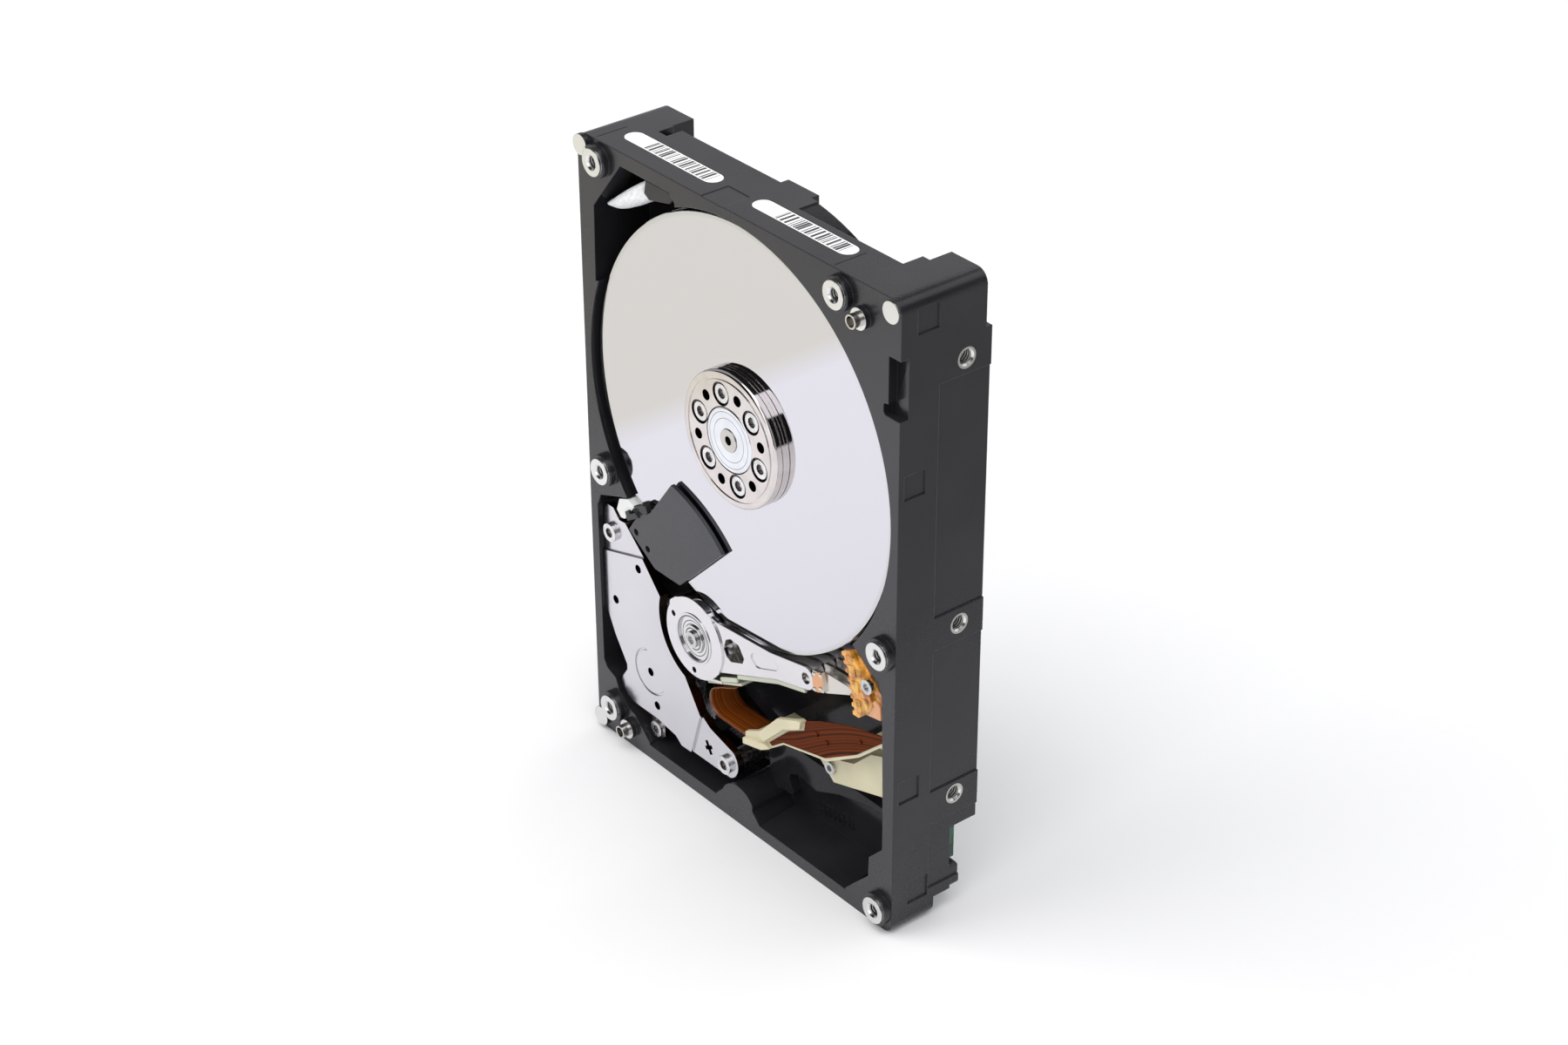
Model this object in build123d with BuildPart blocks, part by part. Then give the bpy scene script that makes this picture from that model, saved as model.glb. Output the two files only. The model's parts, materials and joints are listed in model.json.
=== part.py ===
from build123d import *
from math import cos, sin, radians
import os

# Open 3.5-inch hard disk drive, millimetres.
# +Z runs along the length (0 at the connector end), the platters face -Y.
# "Depth" is measured rearwards (+Y) from the machined front rim.

# ---- overall, standard 3.5-inch form factor ----
WIDTH = 101.6
LENGTH = 147.0
HALF = WIDTH / 2
RIM = 9.95              # the front rim lies this far in front of the mid-plane
RAIL_DEPTH = 23.0       # rim to the rear rail faces
DECK_DEPTH = 16.0       # rim to the rear face of the deck
FLOOR_DEPTH = 14.4
POCKET_DEPTH = 10.8     # open bay beside the connector end
TERRACE_DEPTH = 8.2      # rim to the cavity floor
LIP_DEPTH = 11.5        # depth of the lip at the connector end
SHELF_Z = 4.4           # the deck starts above the lip
HOLE_R = 1.4            # minor radius of the 6-32 mounting threads
SIDE_HOLE_Z = (28.5, 70.1, 130.1)
SIDE_HOLE_DEPTH = RAIL_DEPTH - 6.35
REAR_HOLE_X = 47.625
REAR_HOLE_Z = (41.28, 85.73)

# ---- spindle ----
SPIN_Z = 96.2
BOWL_R = 48.6
PLATTER_R = 47.5
PLATTER_BORE = 12.5
PLATTER_T = 1.27
PLATTER_TOP = 1.5       # depth of the first platter's front face
PITCH = 3.2
GAP = PITCH - PLATTER_T
CLAMP_R = 15.1
CLAMP_TOP = -1.2
HUB_R = 12.45
SHAFT_R = 2.5
RUN = 0.05              # radial running clearance

# ---- actuator ----
PIV_X = -14.3
PIV_Z = 40.8
ARM_ANGLE = 13.5        # parked arms, degrees above +X
COIL_ANGLE = 201.0
ARM_T = 0.9
ARM_MID = PLATTER_TOP - GAP / 2
BLOCK_R = 9.6
COIL_TOP = 5.8
COIL_T = 3.6

ARM = Plane(
    origin=(PIV_X, -RIM, PIV_Z),
    x_dir=(cos(radians(ARM_ANGLE)), 0, sin(radians(ARM_ANGLE))),
    z_dir=(0, -1, 0),
)
COIL = Plane(
    origin=(PIV_X, -RIM, PIV_Z),
    x_dir=(cos(radians(COIL_ANGLE)), 0, sin(radians(COIL_ANGLE))),
    z_dir=(0, -1, 0),
)
SPIN = Plane(origin=(0, -RIM, SPIN_Z), x_dir=(1, 0, 0), z_dir=(0, -1, 0))

# cover posts, locating dowels and machined pads on the rim: (x, z)
POSTS = [(-43.6, 142.5), (33.2, 142.5), (-44.8, 69.0), (46.9, 67.9), (-44.3, 7.8), (46.9, 5.0)]
POST_TOP = 2.0
DOWELS = [(39.7, 139.8), (-38.8, 4.6)]
COLLAR = 1.2
PADS = [(47.9, 144.1)]
TALL_PADS = [(-48.45, 144.65), (-48.45, 3.2)]
TALL_PAD = 1.2

# board screws: (x, z)
BOARD_SCREWS = [(-38.0, 30.0), (38.0, 30.0), (-38.0, 80.0), (38.0, 80.0), (0.0, 24.0)]
PCB_DEPTH = 18.2
PCB_T = 1.2

# yoke fixings: (x, z)
YOKE_SCREWS = [(-45.4, 52.4), (-5.9, 11.8)]
TAB_SCREW = (-31.5, 7.3)


# =====================================================================
# base casting
# =====================================================================
with BuildPart() as base_casting:
    # block from the rim to the deck
    with BuildSketch(Plane.XZ.offset(RIM)) as block_outline:
        with Locations((0, (LENGTH + SHELF_Z) / 2)):
            Rectangle(WIDTH, LENGTH - SHELF_Z)
        fillet(block_outline.vertices().sort_by(Axis.Y)[-2:], 3.0)
    extrude(amount=-DECK_DEPTH)
    # lip at the connector end
    with BuildSketch(Plane.XZ.offset(RIM)) as lip_outline:
        with Locations((0, 6)):
            Rectangle(WIDTH, 12)
        fillet(lip_outline.vertices().sort_by(Axis.Y)[:2], 2.5)
    extrude(amount=-LIP_DEPTH)
    # rear rails
    with BuildSketch(Plane.XZ.offset(RIM - DECK_DEPTH)):
        with Locations((HALF - 3.5, 77.5), (-HALF + 3.5, 77.5)):
            Rectangle(7.0, 115.0)
    extrude(amount=-(RAIL_DEPTH - DECK_DEPTH))
    # lower corner blocks at the far end
    with BuildSketch(Plane.XZ.offset(RIM - DECK_DEPTH)) as end_blocks:
        with Locations((-45.1, 140.5)):
            Rectangle(11.4, 13.0)
        with Locations((45.6, 140.5)):
            Rectangle(10.4, 13.0)
        fillet(end_blocks.vertices().group_by(Axis.X)[0].sort_by(Axis.Y)[-1:], 3.0)
        fillet(end_blocks.vertices().group_by(Axis.X)[-1].sort_by(Axis.Y)[-1:], 3.0)
    extrude(amount=-5.5)
    # hooked feet beside the connector end
    with BuildSketch(Plane.XZ.offset(RIM - DECK_DEPTH)):
        with Locations((HALF - 2.5, 7.1), (-HALF + 2.5, 7.1)):
            RectangleRounded(5.0, 5.2, 1.2)
    extrude(amount=-2.4)
    # tab in the middle of the far end
    with BuildSketch(Plane.XZ.offset(RIM - DECK_DEPTH)):
        with Locations((0.5, 145.0)):
            Rectangle(9.5, 4.0)
    extrude(amount=-2.0)
    # motor boss and board bosses on the rear of the deck
    with BuildSketch(Plane.XZ.offset(RIM - DECK_DEPTH)):
        with Locations((0, SPIN_Z)):
            Circle(14.0)
    extrude(amount=-1.2)
    with BuildSketch(Plane.XZ.offset(RIM - DECK_DEPTH - 1.2)):
        with Locations((0, SPIN_Z)):
            Circle(11.0)
            Circle(5.0, mode=Mode.SUBTRACT)
    extrude(amount=0.5, mode=Mode.SUBTRACT)
    with BuildSketch(Plane.XZ.offset(RIM - DECK_DEPTH)):
        with Locations(*BOARD_SCREWS):
            Circle(2.8)
    extrude(amount=-(PCB_DEPTH - DECK_DEPTH))

    # platter bowl
    with BuildSketch(Plane.XZ.offset(RIM)):
        with Locations((0, SPIN_Z)):
            Circle(BOWL_R)
    extrude(amount=-FLOOR_DEPTH, mode=Mode.SUBTRACT)
    # actuator bay
    with BuildSketch(Plane.XZ.offset(RIM)):
        with BuildLine():
            Polyline((38.0, 65.0), (42.6, 61.9), (45.2, 60.0), (46.8, 57.4), (47.5, 28.0), (47.5, 20.0))
            Polyline((47.5, 20.0), (43.4, 15.8), (43.2, 10.9), (38.5, 6.2), (5.3, 6.2))
            ThreePointArc((5.3, 6.2), (-0.1, 9.7), (-5.4, 6.2))
            Polyline((-5.4, 6.2), (-34.0, 6.2), (-37.0, 8.9), (-39.6, 9.6), (-42.6, 12.1))
            Polyline((-42.6, 12.1), (-43.9, 15.4), (-47.0, 16.6), (-48.1, 18.4), (-48.4, 58.6))
            Polyline((-48.4, 58.6), (-47.1, 61.6), (-37.4, 65.2), (-20.0, 75.0), (20.0, 75.0), (38.0, 65.0))
        make_face()
    extrude(amount=-FLOOR_DEPTH, mode=Mode.SUBTRACT)
    # sloped wall along the connector end
    with BuildSketch(Plane.YZ.offset(7.2)):
        with BuildLine():
            Polyline((-RIM, 3.2), (-RIM + 10.8, 4.8), (-RIM + 10.8, 6.6), (-RIM, 6.6), (-RIM, 3.2))
        make_face()
    extrude(amount=28.8, mode=Mode.SUBTRACT)
    with BuildSketch(Plane.XZ.offset(RIM)):
        with BuildLine():
            Polyline((35.9, 3.5), (38.6, 6.3), (35.9, 6.3), (35.9, 3.5))
        make_face()
        with BuildLine():
            Polyline((7.3, 3.2), (4.8, 5.7), (4.8, 6.9), (7.3, 6.9), (7.3, 3.2))
        make_face()
    extrude(amount=-10.8, mode=Mode.SUBTRACT)
    with BuildSketch(Plane.YZ.offset(-31.7)):
        with BuildLine():
            Polyline((-RIM, 3.6), (-RIM + 10.8, 5.2), (-RIM + 10.8, 6.6), (-RIM, 6.6), (-RIM, 3.6))
        make_face()
    extrude(amount=24.1, mode=Mode.SUBTRACT)
    with BuildSketch(Plane.XZ.offset(RIM)):
        with BuildLine():
            Polyline((-31.6, 3.9), (-34.1, 6.25), (-34.1, 6.9), (-31.6, 6.9), (-31.6, 3.9))
        make_face()
        with BuildLine():
            Polyline((-7.7, 3.9), (-5.4, 6.2), (-5.4, 6.9), (-7.7, 6.9), (-7.7, 3.9))
        make_face()
    extrude(amount=-10.8, mode=Mode.SUBTRACT)
    # filter corner
    with BuildSketch(Plane.XZ.offset(RIM)):
        with BuildLine():
            Polyline((-18.2, 135.0), (-18.2, 142.0), (-19.8, 143.8), (-36.2, 143.8), (-45.8, 131.6))
            Polyline((-45.8, 131.6), (-46.1, 114.0), (-30.0, 120.0), (-18.2, 135.0))
        make_face()
    extrude(amount=-FLOOR_DEPTH, mode=Mode.SUBTRACT)
    # relief behind the far right corner, outside the bowl
    with BuildSketch(Plane.XZ.offset(RIM - 11.0)):
        with Locations((22.9, 138.0)):
            Rectangle(31.0, 19.0)
        with Locations((0, SPIN_Z)):
            Circle(51.0, mode=Mode.SUBTRACT)
    extrude(amount=-6.0, mode=Mode.SUBTRACT)
    # slot beside the far left block
    with BuildSketch(Plane.XZ.offset(RIM - 12.0)):
        with Locations((-37.6, 146.2)):
            Rectangle(2.8, 2.0)
    extrude(amount=-5.0, mode=Mode.SUBTRACT)
    # notch in the front right edge, with a foot at its lower end
    with BuildSketch(Plane.XZ.offset(RIM)):
        with Locations((49.4, 129.4)):
            Rectangle(4.0, 10.6)
        with Locations((48.6, 123.0)):
            RectangleRounded(5.2, 2.6, 0.8)
    extrude(amount=-2.1, mode=Mode.SUBTRACT)

    # stepped sides: the rear part sits back from the front part
    with BuildSketch(Plane.YZ.offset(HALF)):
        with Locations((-RIM + 16.7, 48.8)):
            Rectangle(13.6, 34.4)
        with Locations((-RIM + 16.7, 15.3)):
            Rectangle(13.6, 16.2)
        with Locations((-RIM + 16.7, 100.2)):
            Rectangle(13.6, 52.8)
        with Locations((-RIM + 6.8, 141.7), (-RIM + 4.1, 106.6), (-RIM + 4.1, 35.0), (-RIM + 7.0, 8.6)):
            Rectangle(5.4, 5.4)
    extrude(amount=-0.35, mode=Mode.SUBTRACT)
    with BuildSketch(Plane.YZ.offset(-HALF)):
        with Locations((-RIM + 16.7, 48.8)):
            Rectangle(13.6, 34.4)
        with Locations((-RIM + 16.7, 15.3)):
            Rectangle(13.6, 16.2)
        with Locations((-RIM + 16.7, 100.2)):
            Rectangle(13.6, 52.8)
    extrude(amount=0.35, mode=Mode.SUBTRACT)

    # label recesses in the far end
    with BuildSketch(Plane.XY.offset(LENGTH)):
        with Locations((-27.3, -RIM + 6.9), (14.3, -RIM + 6.9)):
            SlotOverall(30.2, 4.6)
    extrude(amount=-0.12, mode=Mode.SUBTRACT)

    # panel lines on the far end
    with BuildSketch(Plane.XY.offset(LENGTH)):
        with Locations((-6.2, -RIM + 3.5)):
            Rectangle(6.8, 7.0)
        with Locations((-45.0, -RIM + 4.6), (30.6, -RIM + 4.6)):
            Rectangle(0.25, 8.0)
    extrude(amount=-0.12, mode=Mode.SUBTRACT)

    # cover posts and machined pads
    with BuildSketch(Plane.XZ.offset(RIM)):
        with Locations(*POSTS):
            Circle(3.7)
    extrude(amount=1.4)
    with BuildSketch(Plane.XZ.offset(RIM + 1.4)):
        with Locations(*POSTS):
            Circle(3.0)
    extrude(amount=POST_TOP - 1.4)
    with BuildSketch(Plane.XZ.offset(RIM)):
        with Locations(*PADS):
            Circle(2.3)
    extrude(amount=0.3)
    with BuildSketch(Plane.XZ.offset(RIM)):
        with Locations(*TALL_PADS):
            Circle(2.3)
    extrude(amount=TALL_PAD)
    with BuildSketch(Plane.XZ.offset(RIM + POST_TOP)):
        with Locations(*POSTS):
            Circle(1.25)
    extrude(amount=-8.0, mode=Mode.SUBTRACT)
    with BuildSketch(Plane.XZ.offset(RIM + POST_TOP)):
        with Locations(*POSTS):
            Circle(1.7)
    extrude(amount=-0.45, taper=45, mode=Mode.SUBTRACT)
    # dowel holes with a collar
    with BuildSketch(Plane.XZ.offset(RIM)):
        with Locations(*DOWELS):
            Circle(2.3)
    extrude(amount=COLLAR)
    with BuildSketch(Plane.XZ.offset(RIM + COLLAR)):
        with Locations(*DOWELS):
            Circle(1.5)
    extrude(amount=-7.0, mode=Mode.SUBTRACT)

    # side and rear mounting threads
    with BuildSketch(Plane.YZ.offset(HALF)):
        with Locations(*[(-RIM + SIDE_HOLE_DEPTH, z) for z in SIDE_HOLE_Z]):
            Circle(HOLE_R)
    extrude(amount=-5.0, mode=Mode.SUBTRACT)
    with BuildSketch(Plane.YZ.offset(HALF)):
        with Locations(*[(-RIM + SIDE_HOLE_DEPTH, z) for z in SIDE_HOLE_Z]):
            Circle(HOLE_R + 0.45)
    extrude(amount=-0.45, taper=45, mode=Mode.SUBTRACT)
    with BuildSketch(Plane.YZ.offset(-HALF)):
        with Locations(*[(-RIM + SIDE_HOLE_DEPTH, z) for z in SIDE_HOLE_Z]):
            Circle(HOLE_R)
    extrude(amount=5.0, mode=Mode.SUBTRACT)
    with BuildSketch(Plane.YZ.offset(-HALF)):
        with Locations(*[(-RIM + SIDE_HOLE_DEPTH, z) for z in SIDE_HOLE_Z]):
            Circle(HOLE_R + 0.45)
    extrude(amount=0.45, taper=45, mode=Mode.SUBTRACT)
    with BuildSketch(Plane.XZ.offset(RIM - RAIL_DEPTH)):
        with Locations(*[(s * REAR_HOLE_X, z) for s in (-1, 1) for z in REAR_HOLE_Z]):
            Circle(HOLE_R)
    extrude(amount=6.0, mode=Mode.SUBTRACT)
    # threads for the board screws
    with BuildSketch(Plane.XZ.offset(RIM - PCB_DEPTH)):
        with Locations(*BOARD_SCREWS):
            Circle(1.1)
    extrude(amount=3.0, mode=Mode.SUBTRACT)

    # motor collar standing on the floor
    with BuildSketch(Plane.XZ.offset(RIM - FLOOR_DEPTH)):
        with Locations((0, SPIN_Z)):
            Circle(5.4)
            Circle(4.6, mode=Mode.SUBTRACT)
    extrude(amount=6.4)
    # seats for the two fixed shafts
    with BuildSketch(Plane.XZ.offset(RIM - FLOOR_DEPTH)):
        with Locations((0, SPIN_Z), (PIV_X, PIV_Z)):
            Circle(SHAFT_R)
    extrude(amount=-1.2, mode=Mode.SUBTRACT)

    # terrace on the floor of the open bay, around a deeper pocket
    with BuildSketch(Plane.XZ.offset(RIM - FLOOR_DEPTH)):
        with BuildLine():
            Polyline((0.8, 6.2), (0.8, 17.5), (7.0, 21.4), (47.5, 21.4), (47.5, 20.0), (43.4, 15.8))
            Polyline((43.4, 15.8), (42.9, 10.5), (37.6, 6.2), (36.0, 4.8), (7.2, 4.8), (7.2, 6.2), (0.8, 6.2))
        make_face()
    extrude(amount=FLOOR_DEPTH - POCKET_DEPTH)
    with BuildSketch(Plane.XZ.offset(RIM - POCKET_DEPTH)) as terrace:
        with BuildLine():
            Polyline((0.8, 8.0), (0.8, 17.5), (7.0, 21.4), (47.5, 21.4), (47.5, 20.0), (38.4, 19.7))
            Polyline((38.4, 19.7), (33.4, 19.3), (28.7, 18.3), (24.1, 17.1), (16.5, 13.8), (10.2, 14.6))
            Polyline((10.2, 14.6), (7.8, 13.6), (7.4, 11.6), (9.4, 8.6), (5.0, 8.0), (0.8, 8.0))
        make_face()
        fillet(terrace.vertices().filter_by(lambda v: 7.0 < v.X < 39.0 and v.Z < 20.0), 0.7)
    extrude(amount=POCKET_DEPTH - TERRACE_DEPTH)
    # embossed grid on the pocket floor
    with BuildSketch(Plane.XZ.offset(RIM - POCKET_DEPTH)):
        with Locations(Location((20.6, 8.6), 9.0)):
            with GridLocations(1.6, 1.5, 7, 2):
                Rectangle(1.3, 1.2)
                Rectangle(0.95, 0.85, mode=Mode.SUBTRACT)
    extrude(amount=0.25)
base_casting.part.label = "base_casting"

with BuildPart() as locating_dowels:
    with BuildSketch(Plane.XZ.offset(RIM + 3.1)):
        with Locations(*DOWELS):
            Circle(1.5)
    extrude(amount=-8.9)
    with BuildSketch(Plane.XZ.offset(RIM + 3.1)):
        with Locations(*DOWELS):
            Circle(1.15)
    extrude(amount=-2.4, mode=Mode.SUBTRACT)
locating_dowels.part.label = "locating_dowels"


# =====================================================================
# circuit board and connector at the rear
# =====================================================================
with BuildPart() as circuit_board:
    with BuildSketch(Plane.XZ.offset(RIM - PCB_DEPTH)):
        with Locations((0, 54.0)):
            Rectangle(86.4, 69.0)
        with Locations((0, 14.6)):
            Rectangle(96.0, 9.8)
        with Locations((0, SPIN_Z)):
            Circle(17.0, mode=Mode.SUBTRACT)
        with Locations(*BOARD_SCREWS):
            Circle(1.3, mode=Mode.SUBTRACT)
    extrude(amount=-PCB_T)
circuit_board.part.label = "circuit_board"

with BuildPart() as controller_chip:
    with BuildSketch(Plane.XZ.offset(RIM - PCB_DEPTH)):
        with Locations((12.0, 48.0)):
            Rectangle(16.0, 16.0)
    extrude(amount=1.2)
    chamfer(controller_chip.faces().sort_by(Axis.Y)[0].edges(), 0.15)
controller_chip.part.label = "controller_chip"

with BuildPart() as memory_chip:
    with BuildSketch(Plane.XZ.offset(RIM - PCB_DEPTH)):
        with Locations((-14.0, 50.0)):
            Rectangle(10.0, 18.0)
    extrude(amount=1.0)
memory_chip.part.label = "memory_chip"

with BuildPart() as motor_driver_chip:
    with BuildSketch(Plane.XZ.offset(RIM - PCB_DEPTH)):
        with Locations((-24.0, 72.0)):
            Rectangle(9.0, 9.0)
    extrude(amount=1.0)
motor_driver_chip.part.label = "motor_driver_chip"

with BuildPart() as board_passives:
    with BuildSketch(Plane.XZ.offset(RIM - PCB_DEPTH)):
        with GridLocations(3.2, 4.0, 5, 3):
            with Locations((28.0, 66.0)):
                Rectangle(1.6, 0.9)
        with Locations((-30.0, 45.0), (-30.0, 49.0), (-30.0, 53.0), (30.0, 44.0), (30.0, 49.0)):
            Rectangle(3.2, 1.8)
        with Locations((44.5, 14.0), (44.5, 17.0)):
            Rectangle(2.4, 1.4)
    extrude(amount=0.8)
board_passives.part.label = "board_passives"

with BuildPart() as board_insulator:
    with BuildSketch(Plane.XZ.offset(RIM - DECK_DEPTH)):
        with Locations((0, 55.0)):
            RectangleRounded(69.0, 52.0, 3.0)
        with Locations((0, SPIN_Z)):
            Circle(17.0, mode=Mode.SUBTRACT)
    extrude(amount=-0.5)
board_insulator.part.label = "board_insulator"

with BuildPart() as board_screws:
    with BuildSketch(Plane.XZ.offset(RIM - PCB_DEPTH - PCB_T)):
        with Locations(*BOARD_SCREWS):
            Circle(2.5)
    extrude(amount=-1.1)
    with BuildSketch(Plane.XZ.offset(RIM - PCB_DEPTH - PCB_T)):
        with Locations(*BOARD_SCREWS):
            Circle(1.05)
    extrude(amount=3.6)
    with BuildSketch(Plane.XZ.offset(RIM - PCB_DEPTH - PCB_T - 1.1)):
        with Locations(*BOARD_SCREWS):
            RegularPolygon(1.1, 6)
    extrude(amount=0.7, mode=Mode.SUBTRACT)
board_screws.part.label = "board_screws"

# serial connector: power and data tongues in one housing, mouth towards -Z
PORT_X = -22.3
PORT_DEPTH = RAIL_DEPTH - 3.5
with BuildPart() as serial_connector:
    with BuildSketch(Plane.XY):
        with Locations((PORT_X, -RIM + PORT_DEPTH)):
            Rectangle(42.4, 5.8)
    extrude(amount=9.6)
    with BuildSketch(Plane.XY):
        with Locations((PORT_X - 8.2, -RIM + PORT_DEPTH)):
            Rectangle(22.6, 3.6)
        with Locations((PORT_X + 13.0, -RIM + PORT_DEPTH)):
            Rectangle(12.2, 3.6)
    extrude(amount=6.4, mode=Mode.SUBTRACT)
    with BuildSketch(Plane.XY.offset(0.6)):
        with Locations((PORT_X - 8.2, -RIM + PORT_DEPTH)):
            Rectangle(20.6, 1.1)
        with Locations((PORT_X - 18.0, -RIM + PORT_DEPTH + 0.9)):
            Rectangle(1.1, 1.8)
        with Locations((PORT_X + 13.0, -RIM + PORT_DEPTH)):
            Rectangle(10.2, 1.1)
        with Locations((PORT_X + 8.4, -RIM + PORT_DEPTH + 0.9)):
            Rectangle(1.1, 1.8)
    extrude(amount=6.4)
serial_connector.part.label = "serial_connector"

with BuildPart() as connector_contacts:
    with BuildSketch(Plane.XY.offset(1.0)):
        with Locations((PORT_X - 7.6, -RIM + PORT_DEPTH - 0.65)):
            with GridLocations(1.27, 1, 15, 1):
                Rectangle(0.8, 0.2)
        with Locations((PORT_X + 13.4, -RIM + PORT_DEPTH - 0.65)):
            with GridLocations(1.27, 1, 7, 1):
                Rectangle(0.8, 0.2)
    extrude(amount=5.4)
connector_contacts.part.label = "connector_contacts"


# =====================================================================
# spindle: fixed shaft and stator, turning hub, platters and clamp
# =====================================================================
with BuildPart() as spindle_shaft:
    with BuildSketch(SPIN.offset(1.5)):
        Circle(SHAFT_R)
    extrude(amount=-(1.5 + FLOOR_DEPTH + 1.2))
    with BuildSketch(SPIN.offset(1.5)):
        Circle(1.0)
    extrude(amount=-4.0, mode=Mode.SUBTRACT)
spindle_shaft.part.label = "spindle_shaft"

with BuildPart() as stator_core:
    with BuildSketch(SPIN.offset(-8.6)):
        Circle(6.6)
        with PolarLocations(7.6, 9):
            Rectangle(2.6, 1.4)
        with PolarLocations(9.0, 9):
            Rectangle(0.8, 4.2)
        Circle(5.4, mode=Mode.SUBTRACT)
    extrude(amount=-2.8)
stator_core.part.label = "stator_core"

with BuildPart() as stator_coils:
    with BuildSketch(SPIN.offset(-8.2)):
        with PolarLocations(7.65, 9):
            Rectangle(1.7, 2.9)
    extrude(amount=-3.6)
    with BuildSketch(SPIN.offset(-8.6)):
        with PolarLocations(7.65, 9):
            Rectangle(1.7, 1.4)
    extrude(amount=-2.8, mode=Mode.SUBTRACT)
stator_coils.part.label = "stator_coils"

FLANGE_TOP = PLATTER_TOP + 3 * PITCH + PLATTER_T
with BuildPart() as spindle_hub:
    # rim that carries the platters, with a flange under the last one
    with BuildSketch(SPIN.offset(-PLATTER_TOP - 0.1)):
        Circle(HUB_R)
    extrude(amount=-(FLANGE_TOP - PLATTER_TOP - 0.1))
    with BuildSketch(SPIN.offset(-FLANGE_TOP)):
        Circle(14.4)
    extrude(amount=-1.2)
    # boss that stands up through the clamp
    with BuildSketch(SPIN.offset(-PLATTER_TOP - 0.1)):
        Circle(7.2)
    extrude(amount=PLATTER_TOP + 0.1 + 1.3)
    fillet(spindle_hub.edges().filter_by(GeomType.CIRCLE).sort_by(Axis.Y)[:1], 0.4)
    # motor space
    with BuildSketch(SPIN.offset(-6.6)):
        Circle(10.9)
        Circle(4.2, mode=Mode.SUBTRACT)
    extrude(amount=-8.0, mode=Mode.SUBTRACT)
    with BuildSketch(SPIN.offset(1.3)):
        Circle(SHAFT_R + RUN)
    extrude(amount=-16.0, mode=Mode.SUBTRACT)
    # threads for the clamp screws
    with BuildSketch(SPIN.offset(-PLATTER_TOP - 0.1)):
        with PolarLocations(10.0, 6, start_angle=45):
            Circle(1.0)
    extrude(amount=-4.0, mode=Mode.SUBTRACT)
spindle_hub.part.label = "spindle_hub"

with BuildPart() as rotor_magnet:
    with BuildSketch(SPIN.offset(-7.6)):
        Circle(10.9)
        Circle(9.9, mode=Mode.SUBTRACT)
    extrude(amount=-5.0)
rotor_magnet.part.label = "rotor_magnet"

with BuildPart() as platter_1:
    with BuildSketch(SPIN.offset(-PLATTER_TOP)):
        Circle(PLATTER_R)
        Circle(PLATTER_BORE, mode=Mode.SUBTRACT)
    extrude(amount=-PLATTER_T)
    chamfer(platter_1.edges().filter_by(GeomType.CIRCLE).sort_by(SortBy.RADIUS)[-2:], 0.15)
platter_1.part.label = "platter_1"

with BuildPart() as platter_2:
    with BuildSketch(SPIN.offset(-PLATTER_TOP - PITCH)):
        Circle(PLATTER_R)
        Circle(PLATTER_BORE, mode=Mode.SUBTRACT)
    extrude(amount=-PLATTER_T)
    chamfer(platter_2.edges().filter_by(GeomType.CIRCLE).sort_by(SortBy.RADIUS)[-2:], 0.15)
platter_2.part.label = "platter_2"

with BuildPart() as platter_3:
    with BuildSketch(SPIN.offset(-PLATTER_TOP - 2 * PITCH)):
        Circle(PLATTER_R)
        Circle(PLATTER_BORE, mode=Mode.SUBTRACT)
    extrude(amount=-PLATTER_T)
    chamfer(platter_3.edges().filter_by(GeomType.CIRCLE).sort_by(SortBy.RADIUS)[-2:], 0.15)
platter_3.part.label = "platter_3"

with BuildPart() as platter_4:
    with BuildSketch(SPIN.offset(-PLATTER_TOP - 3 * PITCH)):
        Circle(PLATTER_R)
        Circle(PLATTER_BORE, mode=Mode.SUBTRACT)
    extrude(amount=-PLATTER_T)
    chamfer(platter_4.edges().filter_by(GeomType.CIRCLE).sort_by(SortBy.RADIUS)[-2:], 0.15)
platter_4.part.label = "platter_4"

with BuildPart() as platter_spacers:
    with BuildSketch(
        SPIN.offset(-PLATTER_TOP - PLATTER_T),
        SPIN.offset(-PLATTER_TOP - PLATTER_T - PITCH),
        SPIN.offset(-PLATTER_TOP - PLATTER_T - 2 * PITCH),
    ):
        Circle(15.6)
        Circle(PLATTER_BORE, mode=Mode.SUBTRACT)
    extrude(amount=-GAP)
platter_spacers.part.label = "platter_spacers"

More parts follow.
